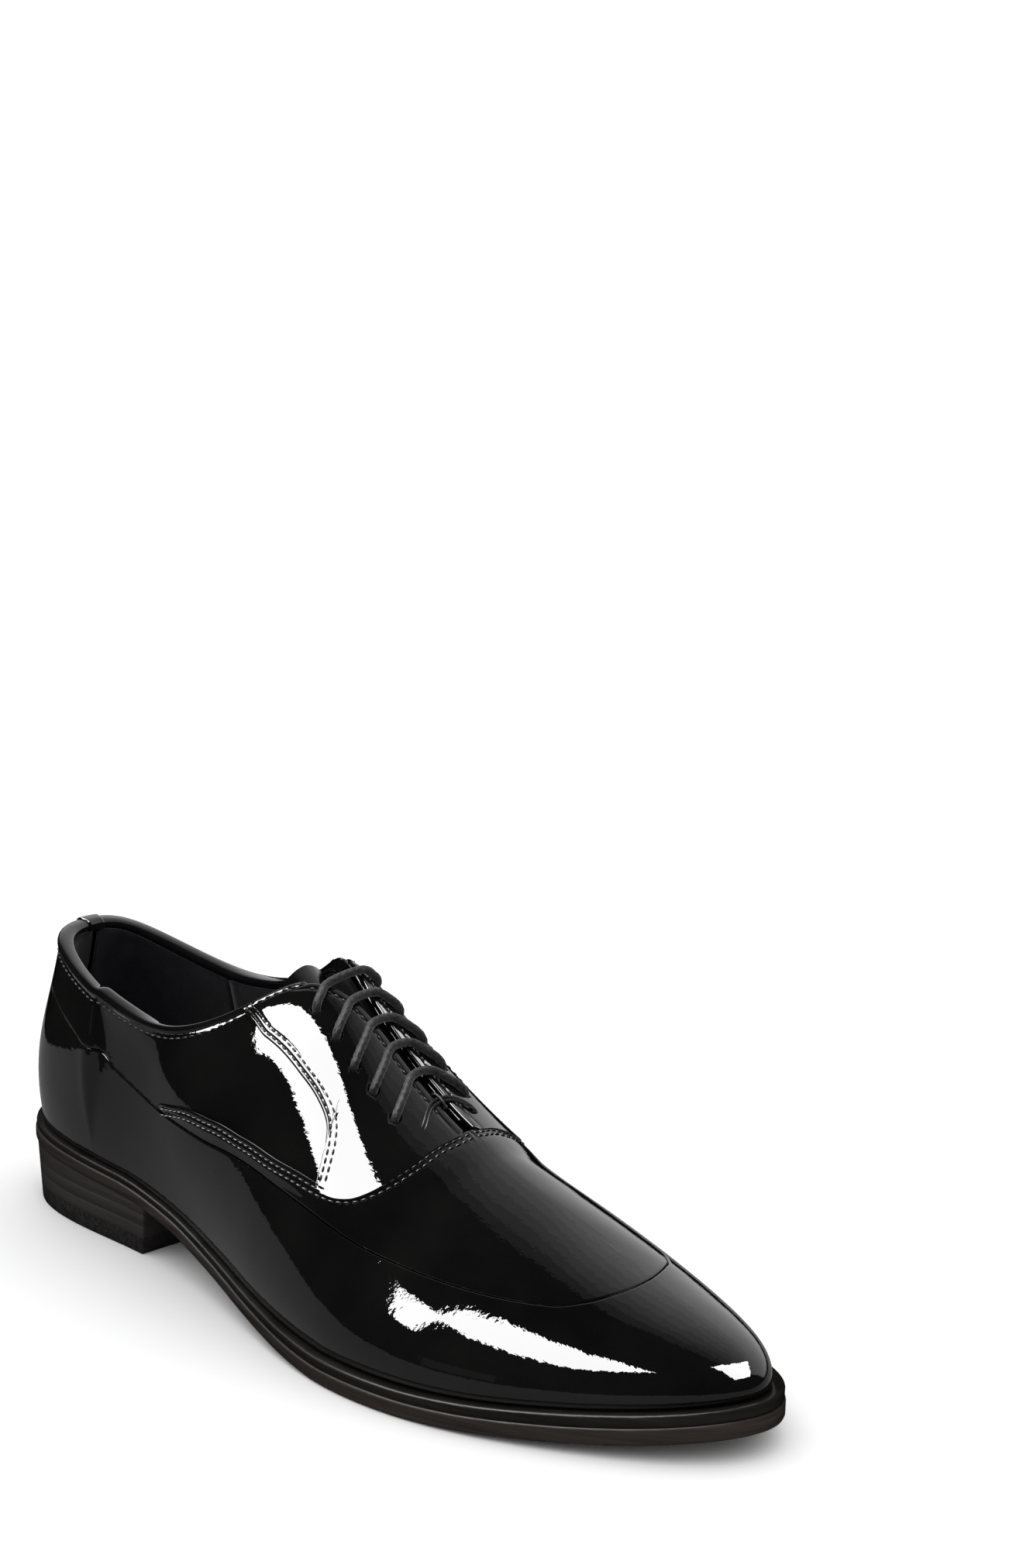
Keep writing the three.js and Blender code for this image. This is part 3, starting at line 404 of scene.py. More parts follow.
def resample(points, step):
    lengths = lengths_along(points)
    count = max(2, int(round(lengths[-1] / step)) + 1)
    return read_at(np.linspace(0, lengths[-1], count), lengths, points)


def even_stations(start, end, lines, pitch):
    """Values of s between start and end, close enough that no line moves more than pitch between two."""
    s = np.linspace(start, end, 4000)
    steps = [np.linalg.norm(np.diff(upper_point(s, line(s)), axis=0), axis=-1) for line in lines]
    total = np.concatenate([[0], np.cumsum(np.max(steps, axis=0))])
    count = max(2, int(math.ceil(total[-1] / pitch)) + 1)
    return np.interp(np.linspace(0, total[-1], count), total, s)


EDGE_STEPS = np.array([0, 0.06, 0.16, 0.3, 0.5, 0.75, 1.05, 1.4, 1.75, 2.1, 2.5, 2.9, 3.3, 3.8, 4.5])
EDGE_SHARE = 0.42


def rib_heights(s, low, high, fine, middle):
    """Heights up each rib, close together near the edges that are seen."""
    share = np.linspace(0, 1, 61)
    v = low[:, None] + (high - low)[:, None] * share
    points = upper_point(s[:, None], v)
    steps = np.linalg.norm(np.diff(points, axis=1), axis=-1)
    lengths = np.concatenate([np.zeros((len(s), 1)), np.cumsum(steps, axis=1)], 1)
    rows = []
    for k in range(len(s)):
        total = lengths[k, -1]
        squeeze = min(1.0, EDGE_SHARE * total / EDGE_STEPS[-1])
        first = EDGE_STEPS * squeeze if fine[0] else np.array([0.0])
        last = total - EDGE_STEPS[::-1] * squeeze if fine[1] else np.array([total])
        between = np.linspace(first[-1], last[0], middle + 2)[1:-1]
        rows.append(np.interp(np.concatenate([first, between, last]), lengths[k], v[k]))
    return np.array(rows)


def rolled(distance, radius):
    """Height lost towards a folded edge: 0 inside, -radius at the edge itself."""
    t = np.clip(distance / radius, 0, 1)
    return radius * (np.sqrt(1 - (1 - t) ** 2) - 1)


def groove(distance, centre, depth=0.22, width=0.45):
    return -depth * np.exp(-(((distance - centre) / width) ** 2))


def panel(name, s, low, high, height, underside, material, fine=(True, True), middle=24,
          closed=False, wall_high=None, merge=0.0):
    """A leather panel: ribs from low(s) to high(s), raised by height(points), over an even underside."""
    v = rib_heights(s, low(s), high(s), fine, middle)
    stations, rows = v.shape
    ss = np.repeat(s[:, None], rows, 1)
    base = upper_point(ss, v)
    normals = upper_normal(ss, v)
    outer = base + normals * height(base)[..., None]
    inner = base + normals * underside
    points = np.concatenate([outer.reshape(-1, 3), inner.reshape(-1, 3)])
    offset = stations * rows
    faces = grid_faces(stations, rows, wrap_rows=closed)
    faces += [tuple(k + offset for k in reversed(face)) for face in faces]
    for i in range(stations if closed else stations - 1):
        a, b = i * rows, ((i + 1) % stations) * rows
        faces.append((a, b, b + offset, a + offset))
        top_a, top_b = a + rows - 1, b + rows - 1
        if wall_high is None or wall_high[i]:
            faces.append((top_b, top_a, top_a + offset, top_b + offset))
    if not closed:
        last = (stations - 1) * rows
        for j in range(rows - 1):
            faces.append((j + 1, j, j + offset, j + 1 + offset))
            faces.append((last + j, last + j + 1, last + j + 1 + offset, last + j + offset))
    return finish_mesh(name, points, faces, material, merge=merge)


# ---------------------------------------------------------------- materials
def new_material(name, **sockets):
    """A Principled material; sockets are its uniform values, by name with _ for a space."""
    material = bpy.data.materials.new(name)
    material.use_nodes = True
    shader = material.node_tree.nodes["Principled BSDF"]
    for key, value in sockets.items():
        shader.inputs[key.replace("_", " ")].default_value = value
    return material, shader


def node(material, kind, **sockets):
    made = material.node_tree.nodes.new(kind)
    for key, value in sockets.items():
        made.inputs[key.replace("_", " ")].default_value = value
    return made


def link(material, output, socket):
    material.node_tree.links.new(output, socket)


def coordinates(material, stretch=(1, 1, 1)):
    place = node(material, "ShaderNodeTexCoord")
    mapping = node(material, "ShaderNodeMapping", Scale=stretch)
    link(material, place.outputs["Object"], mapping.inputs["Vector"])
    return mapping.outputs["Vector"]


def noise(material, scale, detail=2.0, roughness=0.5, stretch=(1, 1, 1)):
    texture = node(material, "ShaderNodeTexNoise", Scale=scale, Detail=detail, Roughness=roughness)
    link(material, coordinates(material, stretch), texture.inputs["Vector"])
    return texture.outputs["Fac"]


def ramp(material, factor, low, high, start=0.3, end=0.7):
    """Blends two colours, or two greys, by a factor between start and end."""
    colours = material.node_tree.nodes.new("ShaderNodeValToRGB")
    colours.color_ramp.elements[0].position = start
    colours.color_ramp.elements[1].position = end
    for element, value in zip(colours.color_ramp.elements, (low, high)):
        element.color = (*value, 1) if isinstance(value, tuple) else (value, value, value, 1)
    link(material, factor, colours.inputs["Fac"])
    return colours.outputs["Color"]


def bump(material, shader, layers, coat=False):
    """Chains bumps, each (height, distance in metres), into the shader's normal."""
    normal = None
    for height, distance in layers:
        made = node(material, "ShaderNodeBump", Strength=1.0, Distance=distance)
        link(material, height, made.inputs["Height"])
        if normal is not None:
            link(material, normal, made.inputs["Normal"])
        normal = made.outputs["Normal"]
    link(material, normal, shader.inputs["Normal"])
    if coat:
        link(material, normal, shader.inputs["Coat Normal"])


def surface(name, pattern, colours, rough=None, relief=0.0, grain=(), **sockets):
    """A material whose colour, roughness and relief follow one noise; grain is finer (noise, relief)."""
    material, shader = new_material(name, **sockets)
    factor = noise(material, *pattern)
    link(material, ramp(material, factor, *colours), shader.inputs["Base Color"])
    if rough:
        link(material, ramp(material, factor, *rough), shader.inputs["Roughness"])
    layers = [(factor, relief)] if relief else []
    layers += [(noise(material, *finer), distance) for finer, distance in grain]
    if layers:
        bump(material, shader, layers, coat="Coat_Weight" in sockets)
    return material


def edge_leather(name, dark, light, rough, relief):
    """Stained and burnished leather edge, with faint horizontal fibres."""
    return surface(name, (14, 6, 0.65, (1, 1, 34)), (dark, light), (rough, rough + 0.16), relief,
                   [((1200, 2), 0.00003)], Specular_IOR_Level=0.4)


def fibre_board(name, dark, light):
    return surface(name, (260, 6, 0.7), (dark, light), relief=0.0002, Roughness=0.85)


def cork():
    material, shader = new_material("cork", Roughness=0.95)
    grains = node(material, "ShaderNodeTexVoronoi", Scale=420)
    link(material, coordinates(material), grains.inputs["Vector"])
    distance = grains.outputs["Distance"]
    colour = ramp(material, distance, (0.14, 0.07, 0.03), (0.42, 0.26, 0.13), 0.1, 0.5)
    link(material, colour, shader.inputs["Base Color"])
    bump(material, shader, [(distance, 0.0004)])
    return material


PATENT = surface(
    "patent_leather", (38, 4), ((0.0030, 0.0030, 0.0032), (0.0065, 0.0062, 0.0060)), (0.28, 0.42),
    grain=[((75, 1), 0.00011), ((560, 2), 0.00003)],
    Specular_IOR_Level=0.0, Coat_Weight=1.0, Coat_Roughness=0.02, Coat_IOR=1.52)
SUEDE = surface(
    "suede_lining", (120, 6, 0.7), ((0.0035, 0.0036, 0.0052), (0.010, 0.0105, 0.0142)), relief=0.0004,
    grain=[((1600, 3), 0.00012)],
    Roughness=0.95, Sheen_Weight=0.12, Sheen_Roughness=0.5, Specular_IOR_Level=0.2)
LACE = surface(
    "waxed_lace", (900, 4, 0.65), (0.0025, (0.017, 0.017, 0.0175)), (0.38, 0.62), 0.00025,
    Sheen_Weight=0.25, Specular_IOR_Level=0.45)
THREAD = surface(
    "waxed_thread", (1800, 2), (0.010, (0.035, 0.035, 0.036)), (0.25, 0.45), 0.00006, Specular_IOR_Level=0.6)
SOLE_EDGE = edge_leather("sole_edge", (0.016, 0.0125, 0.011), (0.040, 0.030, 0.026), 0.34, 0.0002)
WELT_EDGE = edge_leather("welt_edge", (0.006, 0.0055, 0.005), (0.016, 0.014, 0.013), 0.26, 0.0002)
HEEL_STACK = edge_leather("heel_stack", (0.021, 0.0185, 0.0175), (0.032, 0.0285, 0.027), 0.42, 0.00004)
HEEL_RUBBER = surface("heel_rubber", (700, 5), (0.010, 0.020), (0.6, 0.85), 0.0001, Specular_IOR_Level=0.3)
BLACK_METAL = surface("lacquered_brass", (900, 3), (0.010, (0.035, 0.032, 0.028)), (0.25, 0.45), Metallic=0.7)
BOARD = fibre_board("fibre_board", (0.12, 0.08, 0.05), (0.24, 0.17, 0.11))
DYED_BOARD = fibre_board("dyed_board", 0.006, 0.014)
CORK = cork()
STEEL = surface("shank_steel", (60, 4, 0.5, (1, 30, 30)), (0.42, 0.58), (0.25, 0.4), Metallic=1.0)


# ---------------------------------------------------------------- the upper
SIDES = {"lateral": 1, "medial": -1}
SEAM_HALF = 0.0016
PITCH = 1.5
FOLD = 0.6
# Undersides, as heights over the surface: a panel of its own thickness, and one that lies on another.
PANEL_UNDERSIDE = -1.2
OVERLAY_UNDERSIDE = 0.05


def on_side(side, rows):
    """Rows counted from the heel, as values of s on one side."""
    return rows if side == "lateral" else ROWS - rows


def rising(side, rows):
    """The same, in rising order."""
    return np.sort(on_side(side, rows))


def above_foxing(s):
    return foxing_seam(s) + SEAM_HALF


def below_foxing_seam(s):
    return foxing_seam(s) - SEAM_HALF


def make_foxing():
    s = even_stations(0, ROWS, [lambda s: 0 * s, foxing_seam], PITCH)[:-1]
    around = np.linspace(0, ROWS, 4000)
    seam = upper_point(around, below_foxing_seam(around))
    piece = panel("foxing_patent", s, lambda s: 0 * s, below_foxing_seam,
                  lambda points: rolled(nearest(points, seam), FOLD), PANEL_UNDERSIDE,
                  PATENT, fine=(False, True), closed=True)
    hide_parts("foxing")


VAMP_TIP = 4.62
THROAT = VAMP_SEAM[-1][0]
VAMP_RISE = 0.9
VAMP_LAP = (3, 14)
VAMP_STITCHES = (1.5, 3.2)


def make_vamp():
    half = even_stations(VAMP_TIP, TOE_ROW, [foxing_seam, vamp_seam, lambda s: np.full_like(s, 0.9)], PITCH)
    s = np.concatenate([half, (ROWS - half[:-1])[::-1]])
    around = np.linspace(VAMP_TIP, ROWS - VAMP_TIP, 4000)
    seam = upper_point(around, above_foxing(around))
    rows = np.linspace(VAMP_TIP, THROAT, 3000)
    edge = np.concatenate([upper_point(line, vamp_seam(line)) for line in (rows, ROWS - rows[::-1])])

    def height(points):
        to_seam, to_edge = nearest(points, seam), nearest(points, edge)
        lap = VAMP_RISE * (1 - smoothstep(to_edge, *VAMP_LAP)) * smoothstep(to_seam, 0, 4)
        folds = sum(groove(to_edge, d) for d in VAMP_STITCHES) * smoothstep(to_seam, 1, 3)
        return lap + rolled(np.minimum(to_seam, to_edge), FOLD) + folds

    on_ridge = (row_of(s) > THROAT) & (row_of(np.append(s[1:], s[-1])) > THROAT)
    piece = panel("vamp_patent", s, above_foxing, vamp_seam, height, PANEL_UNDERSIDE,
                  PATENT, middle=30, wall_high=~on_ridge, merge=0.004)
    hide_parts("vamp")


QUARTER_ROWS = (0.04, 10.1)
UNDER_VAMP = 0.02
BINDING_STITCH = 1.3
BINDING_GROOVE = 0.1
# Where the quarter sinks a little to pass under the facing.
QUARTER_SINK = 0.15
QUARTER_SINK_ROWS = (4.6, 4.9)
TOPLINE_STITCH_END = 7.0


def quarter_low(s):
    under = np.maximum(above_foxing(s), vamp_seam(s) - UNDER_VAMP)
    return np.where(row_of(s) < VAMP_TIP, above_foxing(s), under)


def topline_curve(side, start, end):
    s = np.linspace(*rising(side, np.array([start, end])), 3000)
    return upper_point(s, topline_edge(s))


def make_quarter(side):
    s = rising(side, even_stations(*QUARTER_ROWS, [quarter_low, facing_edge], PITCH))
    seam_rows = rising(side, np.linspace(QUARTER_ROWS[0], VAMP_TIP, 2500))
    seam = upper_point(seam_rows, quarter_low(seam_rows))
    topline = topline_curve(side, QUARTER_ROWS[0], TOPLINE_STITCH_END)
    sink = QUARTER_SINK * smoothstep(row_of(s), *QUARTER_SINK_ROWS)[:, None]

    def height(points):
        stitched = groove(nearest(points, topline), BINDING_STITCH, BINDING_GROOVE)
        return rolled(nearest(points, seam), FOLD) + stitched - sink

    piece = panel(f"quarter_patent_{side}", s, quarter_low, facing_edge, height, PANEL_UNDERSIDE,
                  PATENT)
    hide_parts(f"quarter_{side}")


FACING_START = 6.13
FACING_END = 10.28
FACING_FOOT_ROW = 8.384
TOP_CORNER_ROW = 7.05
FACING_HEIGHT = 1.5
FACING_FOLD = 0.7
FACING_LEAST = 0.004
FACING_REAR_STITCHES = (1.3, 3.0)
FACING_EDGE_STITCH = 2.6


def facing_low(s):
    row = row_of(s)
    rear = np.where(row <= FACING_FOOT_ROW, facing_rear_row(row), vamp_seam(s) - UNDER_VAMP)
    return np.minimum(rear, facing_edge(s) - FACING_LEAST)


def facing_rear(side, start, count):
    """The facing's rear edge as (s, v), from the topline: along its curve, then straight down to the vamp."""
    s = on_side(side, np.linspace(start, FACING_FOOT_ROW, count))
    low = facing_low(s)
    drop = np.linspace(low[-1], float(vamp_seam(s[-1])), count // 4)[1:]
    return np.append(s, np.full(len(drop), s[-1])), np.append(low, drop)


def facing_curves(side):
    """The facing's rear edge, its front edge and its top, as lines of points."""
    rear = upper_point(*facing_rear(side, FACING_START, 3000))
    edge_rows = rising(side, np.linspace(TOP_CORNER_ROW, FACING_END, 3000))
    edge = upper_point(edge_rows, facing_edge(edge_rows))
    return rear, edge, topline_curve(side, FACING_START, TOP_CORNER_ROW)


HOLE_RADIUS = 1.8


def holes_on(side):
    return [(on_side(side, row), v) for row, v in LACE_HOLES]


def cut_lace_holes(piece, side):
    """Round holes through the facing, square to the surface, where the lace goes in."""
    cutters = bmesh.new()
    for s, v in holes_on(side):
        centre = Vector(to_frame(upper_point(s, v)))
        turn = Vector(upper_normal(s, v)).to_track_quat("Z", "Y").to_matrix().to_4x4()
        radius = HOLE_RADIUS * MM
        bmesh.ops.create_cone(cutters, cap_ends=True, segments=28, radius1=radius, radius2=radius,
                              depth=12 * MM, matrix=Matrix.Translation(centre) @ turn)
    mesh = bpy.data.meshes.new("cutters")
    cutters.to_mesh(mesh)
    cutters.free()
    cutter = bpy.data.objects.new("cutters", mesh)
    bpy.context.scene.collection.objects.link(cutter)
    boolean = piece.modifiers.new("holes", "BOOLEAN")
    boolean.operation = "DIFFERENCE"
    boolean.solver = "EXACT"
    boolean.object = cutter
    depsgraph = bpy.context.evaluated_depsgraph_get()
    cut = bpy.data.meshes.new_from_object(piece.evaluated_get(depsgraph))
    piece.modifiers.clear()
    piece.data = cut
    bpy.data.objects.remove(cutter)
    bpy.data.meshes.remove(mesh)


def make_facing(side):
    s = rising(side, even_stations(FACING_START, FACING_END, [facing_low, facing_edge], 1.1))
    curves = facing_curves(side)

    def height(points):
        to_rear, to_edge, to_top = (nearest(points, curve) for curve in curves)
        folds = sum(groove(to_rear, d) for d in FACING_REAR_STITCHES)
        folds = folds + groove(to_edge, FACING_EDGE_STITCH) + groove(to_top, BINDING_STITCH)
        return FACING_HEIGHT + rolled(np.minimum(to_rear, to_edge), FACING_FOLD) + folds

    piece = panel(f"facing_patent_{side}", s, facing_low, facing_edge, height, OVERLAY_UNDERSIDE,
                  PATENT, middle=18)
    cut_lace_holes(piece, side)
    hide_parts(f"facing_{side}")


BACKSTAY_HALF = 0.34
BACKSTAY_HEIGHT = 1.2
BACKSTAY_STITCH = 1.4


def make_backstay():
    s = np.linspace(-BACKSTAY_HALF, BACKSTAY_HALF, 41)
    edges = []
    for edge in (-BACKSTAY_HALF, BACKSTAY_HALF):
        edges.append(upper_point(edge, np.linspace(float(foxing_seam(edge)), float(topline_edge(edge)), 400)))
    curve = np.concatenate(edges)

    def height(points):
        to_side = nearest(points, curve)
        return BACKSTAY_HEIGHT + rolled(to_side, FOLD) + groove(to_side, BACKSTAY_STITCH)

    piece = panel("backstay_patent", s, above_foxing, topline_edge, height, OVERLAY_UNDERSIDE,
                  PATENT, middle=40)
    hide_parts("backstay")


# Rolled binding: an oval over the raw top edges, given as offset from the surface and rise above the top.
BINDING_CENTRE = (-1.9, -0.95)
BINDING_HALF = (2.6, 1.55)
BINDING_END = 7.1
BINDING_SQUARENESS = 0.8
BINDING_NARROWING = 0.35
HEEL_TAB_TURN = (-0.62, np.pi + 0.75)
HEEL_TAB_HALF = 0.27
# How far the heel tab's outer and inner faces stand off the binding's section, out and up.
HEEL_TAB_FACES = ((0.55, 0.5), (-0.2, -0.2))


def binding_ring(s, angles, centre, half):
    point = upper_point(s, 1.0)
    up = unit(point - upper_point(s, 0.98))
    offset, rise = (middle + reach * np.sign(wave) * np.abs(wave) ** BINDING_SQUARENESS
                    for middle, reach, wave in zip(centre, half, (np.cos(angles), np.sin(angles))))
    return point[None] + upper_normal(s, 1.0)[None] * offset[:, None] + up[None] * rise[:, None]


def make_binding():
    angles = np.linspace(0, 2 * np.pi, 28, endpoint=False)
    stations = even_stations(-BINDING_END, BINDING_END, [lambda s: np.ones_like(s)], 1.2)
    rings = []
    for s in stations:
        end = 1 - BINDING_NARROWING * (1 - smoothstep(BINDING_END - abs(s), 0, 0.06))
        rings.append(binding_ring(s, angles, BINDING_CENTRE, (BINDING_HALF[0] * end, BINDING_HALF[1] * end)))
    piece = sweep("topline_binding_patent", np.array(rings), PATENT)
    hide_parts("topline_binding")


def make_heel_tab():
    """The backstay's top, folded over the binding into the shoe."""
    over = np.linspace(*HEEL_TAB_TURN, 30)
    s = np.linspace(-HEEL_TAB_HALF, HEEL_TAB_HALF, 15)
    faces = []
    for out, up in HEEL_TAB_FACES:
        half = (BINDING_HALF[0] + out, BINDING_HALF[1] + up)
        faces.append(np.array([binding_ring(x, over, BINDING_CENTRE, half) for x in s]))
    rings = np.concatenate([faces[0], faces[1][:, ::-1]], axis=1)
    sweep("heel_tab_patent", rings, PATENT)


# ---------------------------------------------------------------- linings
LINING = (-4.5, -3.7)
GRIP_ROW = 3.6
LINING_GAP = 0.004
VAMP_LINING_ROW = 10.2
LINING_FOOT = 0.012


def make_lining(name, start, end, replaced):
    s = even_stations(start, end, [lambda s: 0 * s, lambda s: np.minimum(1.0, facing_edge(s))], 2.5)
    piece = panel(name, s, lambda s: np.full_like(s, LINING_FOOT), facing_edge,
                  lambda points: np.full(points.shape[:-1], LINING[1]), LINING[0], SUEDE,
                  fine=(False, False), middle=34)
    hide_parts(replaced)


def make_linings():
    make_lining("heel_grip_suede", -GRIP_ROW, GRIP_ROW, "heel_grip_lining")
    make_lining("quarter_suede_lateral", GRIP_ROW + LINING_GAP, VAMP_LINING_ROW, "quarter_lining_lateral")
    make_lining("quarter_suede_medial", ROWS - VAMP_LINING_ROW, ROWS - GRIP_ROW - LINING_GAP,
                "quarter_lining_medial")


# ---------------------------------------------------------------- curves in space
def catmull(points, per_segment=24):
    """Centripetal Catmull-Rom curve through points, evenly sampled within each segment."""
    points = np.asarray(points, float)
    padded = np.vstack([2 * points[0] - points[1], points, 2 * points[-1] - points[-2]])
    out = []
    for i in range(len(points) - 1):
        p0, p1, p2, p3 = padded[i:i + 4]
        d0, d1, d2 = (math.sqrt(np.linalg.norm(b - a)) for a, b in ((p0, p1), (p1, p2), (p2, p3)))
        m1 = ((p1 - p0) / d0 - (p2 - p0) / (d0 + d1) + (p2 - p1) / d1) * d1
        m2 = ((p2 - p1) / d1 - (p3 - p1) / (d1 + d2) + (p3 - p2) / d2) * d1
        t = np.linspace(0, 1, per_segment, endpoint=False)[:, None]
        square, cube = -3 * p1 + 3 * p2 - 2 * m1 - m2, 2 * p1 - 2 * p2 + m1 + m2
        out.append(p1 + m1 * t + square * t ** 2 + cube * t ** 3)
    return np.vstack(out + [points[-1:]])


def tube_rings(path, radius, sides):
    """Rings round a path, without twist; radius(length along, angle) gives the section."""
    tangents = unit(np.gradient(path, axis=0))
    side = np.cross(tangents[0], (0.0, 0.0, 1.0))
    angles = np.linspace(0, 2 * np.pi, sides, endpoint=False)
    rings = []
    for point, tangent, length in zip(path, tangents, lengths_along(path)):
        side = unit(side - tangent * (side @ tangent))
        other = np.cross(tangent, side)
        r = radius(length, angles)
        rings.append(point + (np.cos(angles) * r)[:, None] * side + (np.sin(angles) * r)[:, None] * other)
    return np.array(rings)


# ---------------------------------------------------------------- tongue
TONGUE_LINE = [(188, 46), (167, 54), (145.5, 68.5), (127.5, 82), (115.5, 91.5), (108, 97)]
TONGUE_FALL = (0.032, 0.06)
TONGUE_THICKNESS = 1.6
TONGUE_SHOULDER = 0.87
TONGUE_CROWN = 0.05
CROWN_SHARES = (0.15, 0.3, 0.45, 0.6, 0.72, 0.83, 0.91, 0.96, 0.99, 0.999)
# Reach to each side at the foot, and its change by the top.
TONGUE_SIDES = ((-13, 5), (10, -1))
TONGUE_EDGE_ROUND = 0.8


def tongue_points(t, y, depth):
    """Points across the tongue at t of its length, depth below its top face."""
    line = catmull([(x, GAP_CENTRE, z) for x, z in TONGUE_LINE], 40)
    stations = np.arange(len(line))
    at = np.clip(t, 0, 1) * stations[-1]
    centre = read_at(at, stations, line)
    along = unit(read_at(at, stations, np.gradient(line, axis=0)))
    fall = np.where(y < 0, *TONGUE_FALL) * y * y
    normal = np.array([along[2], 0, -along[0]])
    points = centre[None] - normal[None] * (depth + fall)[:, None]
    points[:, 1] += y
    return points


def make_tongue():
    """Flat oval sections up the tongue, narrowing to a rounded top."""
    across = 34
    u = np.linspace(0, 1, across)
    crown_stations = TONGUE_SHOULDER + TONGUE_CROWN * np.array(CROWN_SHARES)
    stations = np.concatenate([np.linspace(0, TONGUE_SHOULDER, 46), crown_stations])
    rings = []
    for t in stations:
        crown = max(0.0, (t - TONGUE_SHOULDER) / TONGUE_CROWN)
        start = math.asin(min(1.0, crown)) / math.pi
        low, high = (foot + change * min(t, TONGUE_SHOULDER) for foot, change in TONGUE_SIDES)
        y = low + (high - low) * (start + (1 - 2 * start) * u)
        edge = np.minimum(y - y[0], y[-1] - y)
        round_off = 1 - (1 - np.minimum(1, edge / TONGUE_EDGE_ROUND)) ** 2
        middle = TONGUE_THICKNESS / 2
        half = middle * np.sqrt(np.clip(round_off, 0.02, 1))
        top = tongue_points(t, y, middle - half)
        under = tongue_points(t, y[::-1], middle + half[::-1])
        rings.append(np.concatenate([top, under]))
    piece = sweep("tongue_patent", np.array(rings), PATENT, body="tongue")
    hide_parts("tongue")


# ---------------------------------------------------------------- laces
LACE_RADIUS = 1.25
LACE_OVER = FACING_HEIGHT + LACE_RADIUS + 0.05
LACE_UNDER = -8.1
LACE_SIDESTEP = 0.014 * 3.3
# Share of the way from a hole to the facing's edge, and lift over LACE_OVER.
BAR_LIFTS = ((0.16, -0.25), (0.45, 0.1), (0.85, 0.0))
BRAID_PITCH = 2.6
BRAID_STRANDS = 5
BRAID_CORE = 0.88
BRAID_RELIEF = 0.17


def hole_point(hole, height):
    return on_upper(hole[0], hole[1], height)


def towards_edge(hole, share, height):
    s, v = hole
    reach = float(facing_edge(s)) - v
    return on_upper(s, v + share * reach, height)


def bar_points(start, end):
    """Up through one hole, across the gap, and down through the other."""
    near, far = ([hole_point(hole, -1.5), hole_point(hole, 1.2)]
                 + [towards_edge(hole, share, LACE_OVER + lift) for share, lift in BAR_LIFTS]
                 for hole in (start, end))
    return near + far[::-1]


def under_points(start, end, sidestep):
    """From hole to hole under the facing; the sidestep keeps crossing runs apart."""
    points = [hole_point(start, LACE_UNDER + 0.3)]
    for t in (0.3, 0.5, 0.7):
        s = start[0] + (end[0] - start[0]) * t
        v = start[1] + (end[1] - start[1]) * t - sidestep
        points.append(on_upper(s, v, LACE_UNDER))
    return points + [hole_point(end, LACE_UNDER + 0.3)]


def lace_route():
    """Straight-bar lacing from the top lateral hole to the fourth medial hole."""
    lateral, medial = holes_on("lateral"), holes_on("medial")

    def tail_start(hole):
        return on_upper(hole[0], hole[1] - 0.06, LACE_UNDER + 1)

    return [
        tail_start(lateral[4]), hole_point(lateral[4], LACE_UNDER), *bar_points(lateral[4], medial[4]),
        *under_points(medial[4], medial[2], LACE_SIDESTEP), *bar_points(medial[2], lateral[2]),
        *under_points(lateral[2], lateral[0], LACE_SIDESTEP), *bar_points(lateral[0], medial[0]),
        *under_points(medial[0], medial[1], 0), *bar_points(medial[1], lateral[1]),
        *under_points(lateral[1], lateral[3], -LACE_SIDESTEP), *bar_points(lateral[3], medial[3]),
        hole_point(medial[3], LACE_UNDER), tail_start(medial[3]),
    ]


def braid(length, angles):
    """Section of a round braid: strands wound both ways stand a little proud."""
    turn = 2 * np.pi * length / BRAID_PITCH
    one, other = (np.abs(np.cos((BRAID_STRANDS * angles + way * turn) / 2)) for way in (1, -1))
    return LACE_RADIUS * (BRAID_CORE + BRAID_RELIEF * np.maximum(one, other) ** 2)


def make_lace():
    path = resample(catmull(lace_route()), 0.32)
    piece = sweep("braided_lace", tube_rings(path, braid, 20), LACE)
    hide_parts("lace")


# Free ends of the lace: down the lining, then along the sock to the aglet.
TAILS = {
    "lateral": [
        (131.5, -13.2, 79.6), (131.6, -16.2, 77), (131.2, -19.8, 73.4), (130.3, -25, 65.2),
        (128.6, -28.4, 56), (126, -30.8, 47), (123.4, -31.6, 38), (121.4, -31, 29.5), (118, -29, 22),
        (111, -26, 20), (102, -22.8, 21.4), (91, -19.8, 23.6), (79, -17.2, 25.8), (67, -15.2, 27.4),
        (55, -13.2, 28.5), (45, -9.6, 29), (38.6, -3.6, 29.3), (39.6, 3.2, 29.3), (46.5, 6.8, 29),
        (56, 7, 28.5), (64, 6, 27.7),
    ],
    "medial": [
        (140.2, 9.9, 74.9), (139.9, 12.1, 72.6), (139.2, 14.6, 67.8), (137.8, 17.2, 59.5),
        (134.8, 18.8, 50.2), (132, 19.6, 40.4), (128.4, 19.6, 30.6), (123.6, 18.4, 22.2),
        (115, 16.4, 19.2), (104, 15, 21.1), (92, 14.4, 23.6), (80, 15, 25.8), (68, 16.4, 27.4),
        (56, 17.6, 28.5), (45, 17.8, 29.2), (35, 16, 29.5), (26.6, 11.4, 29.7), (22.6, 4, 29.8),
        (23, -4, 29.8), (27.6, -10.6, 29.7), (33, -14.2, 29.5),
    ],
}
TACK_STRAND_RADIUS = 0.42
TACK_SPREAD = 0.028
TACK_BAR_END = 2.4
TACK_BAR_DIP = 0.6
TACK_BAR_RISE = 0.5


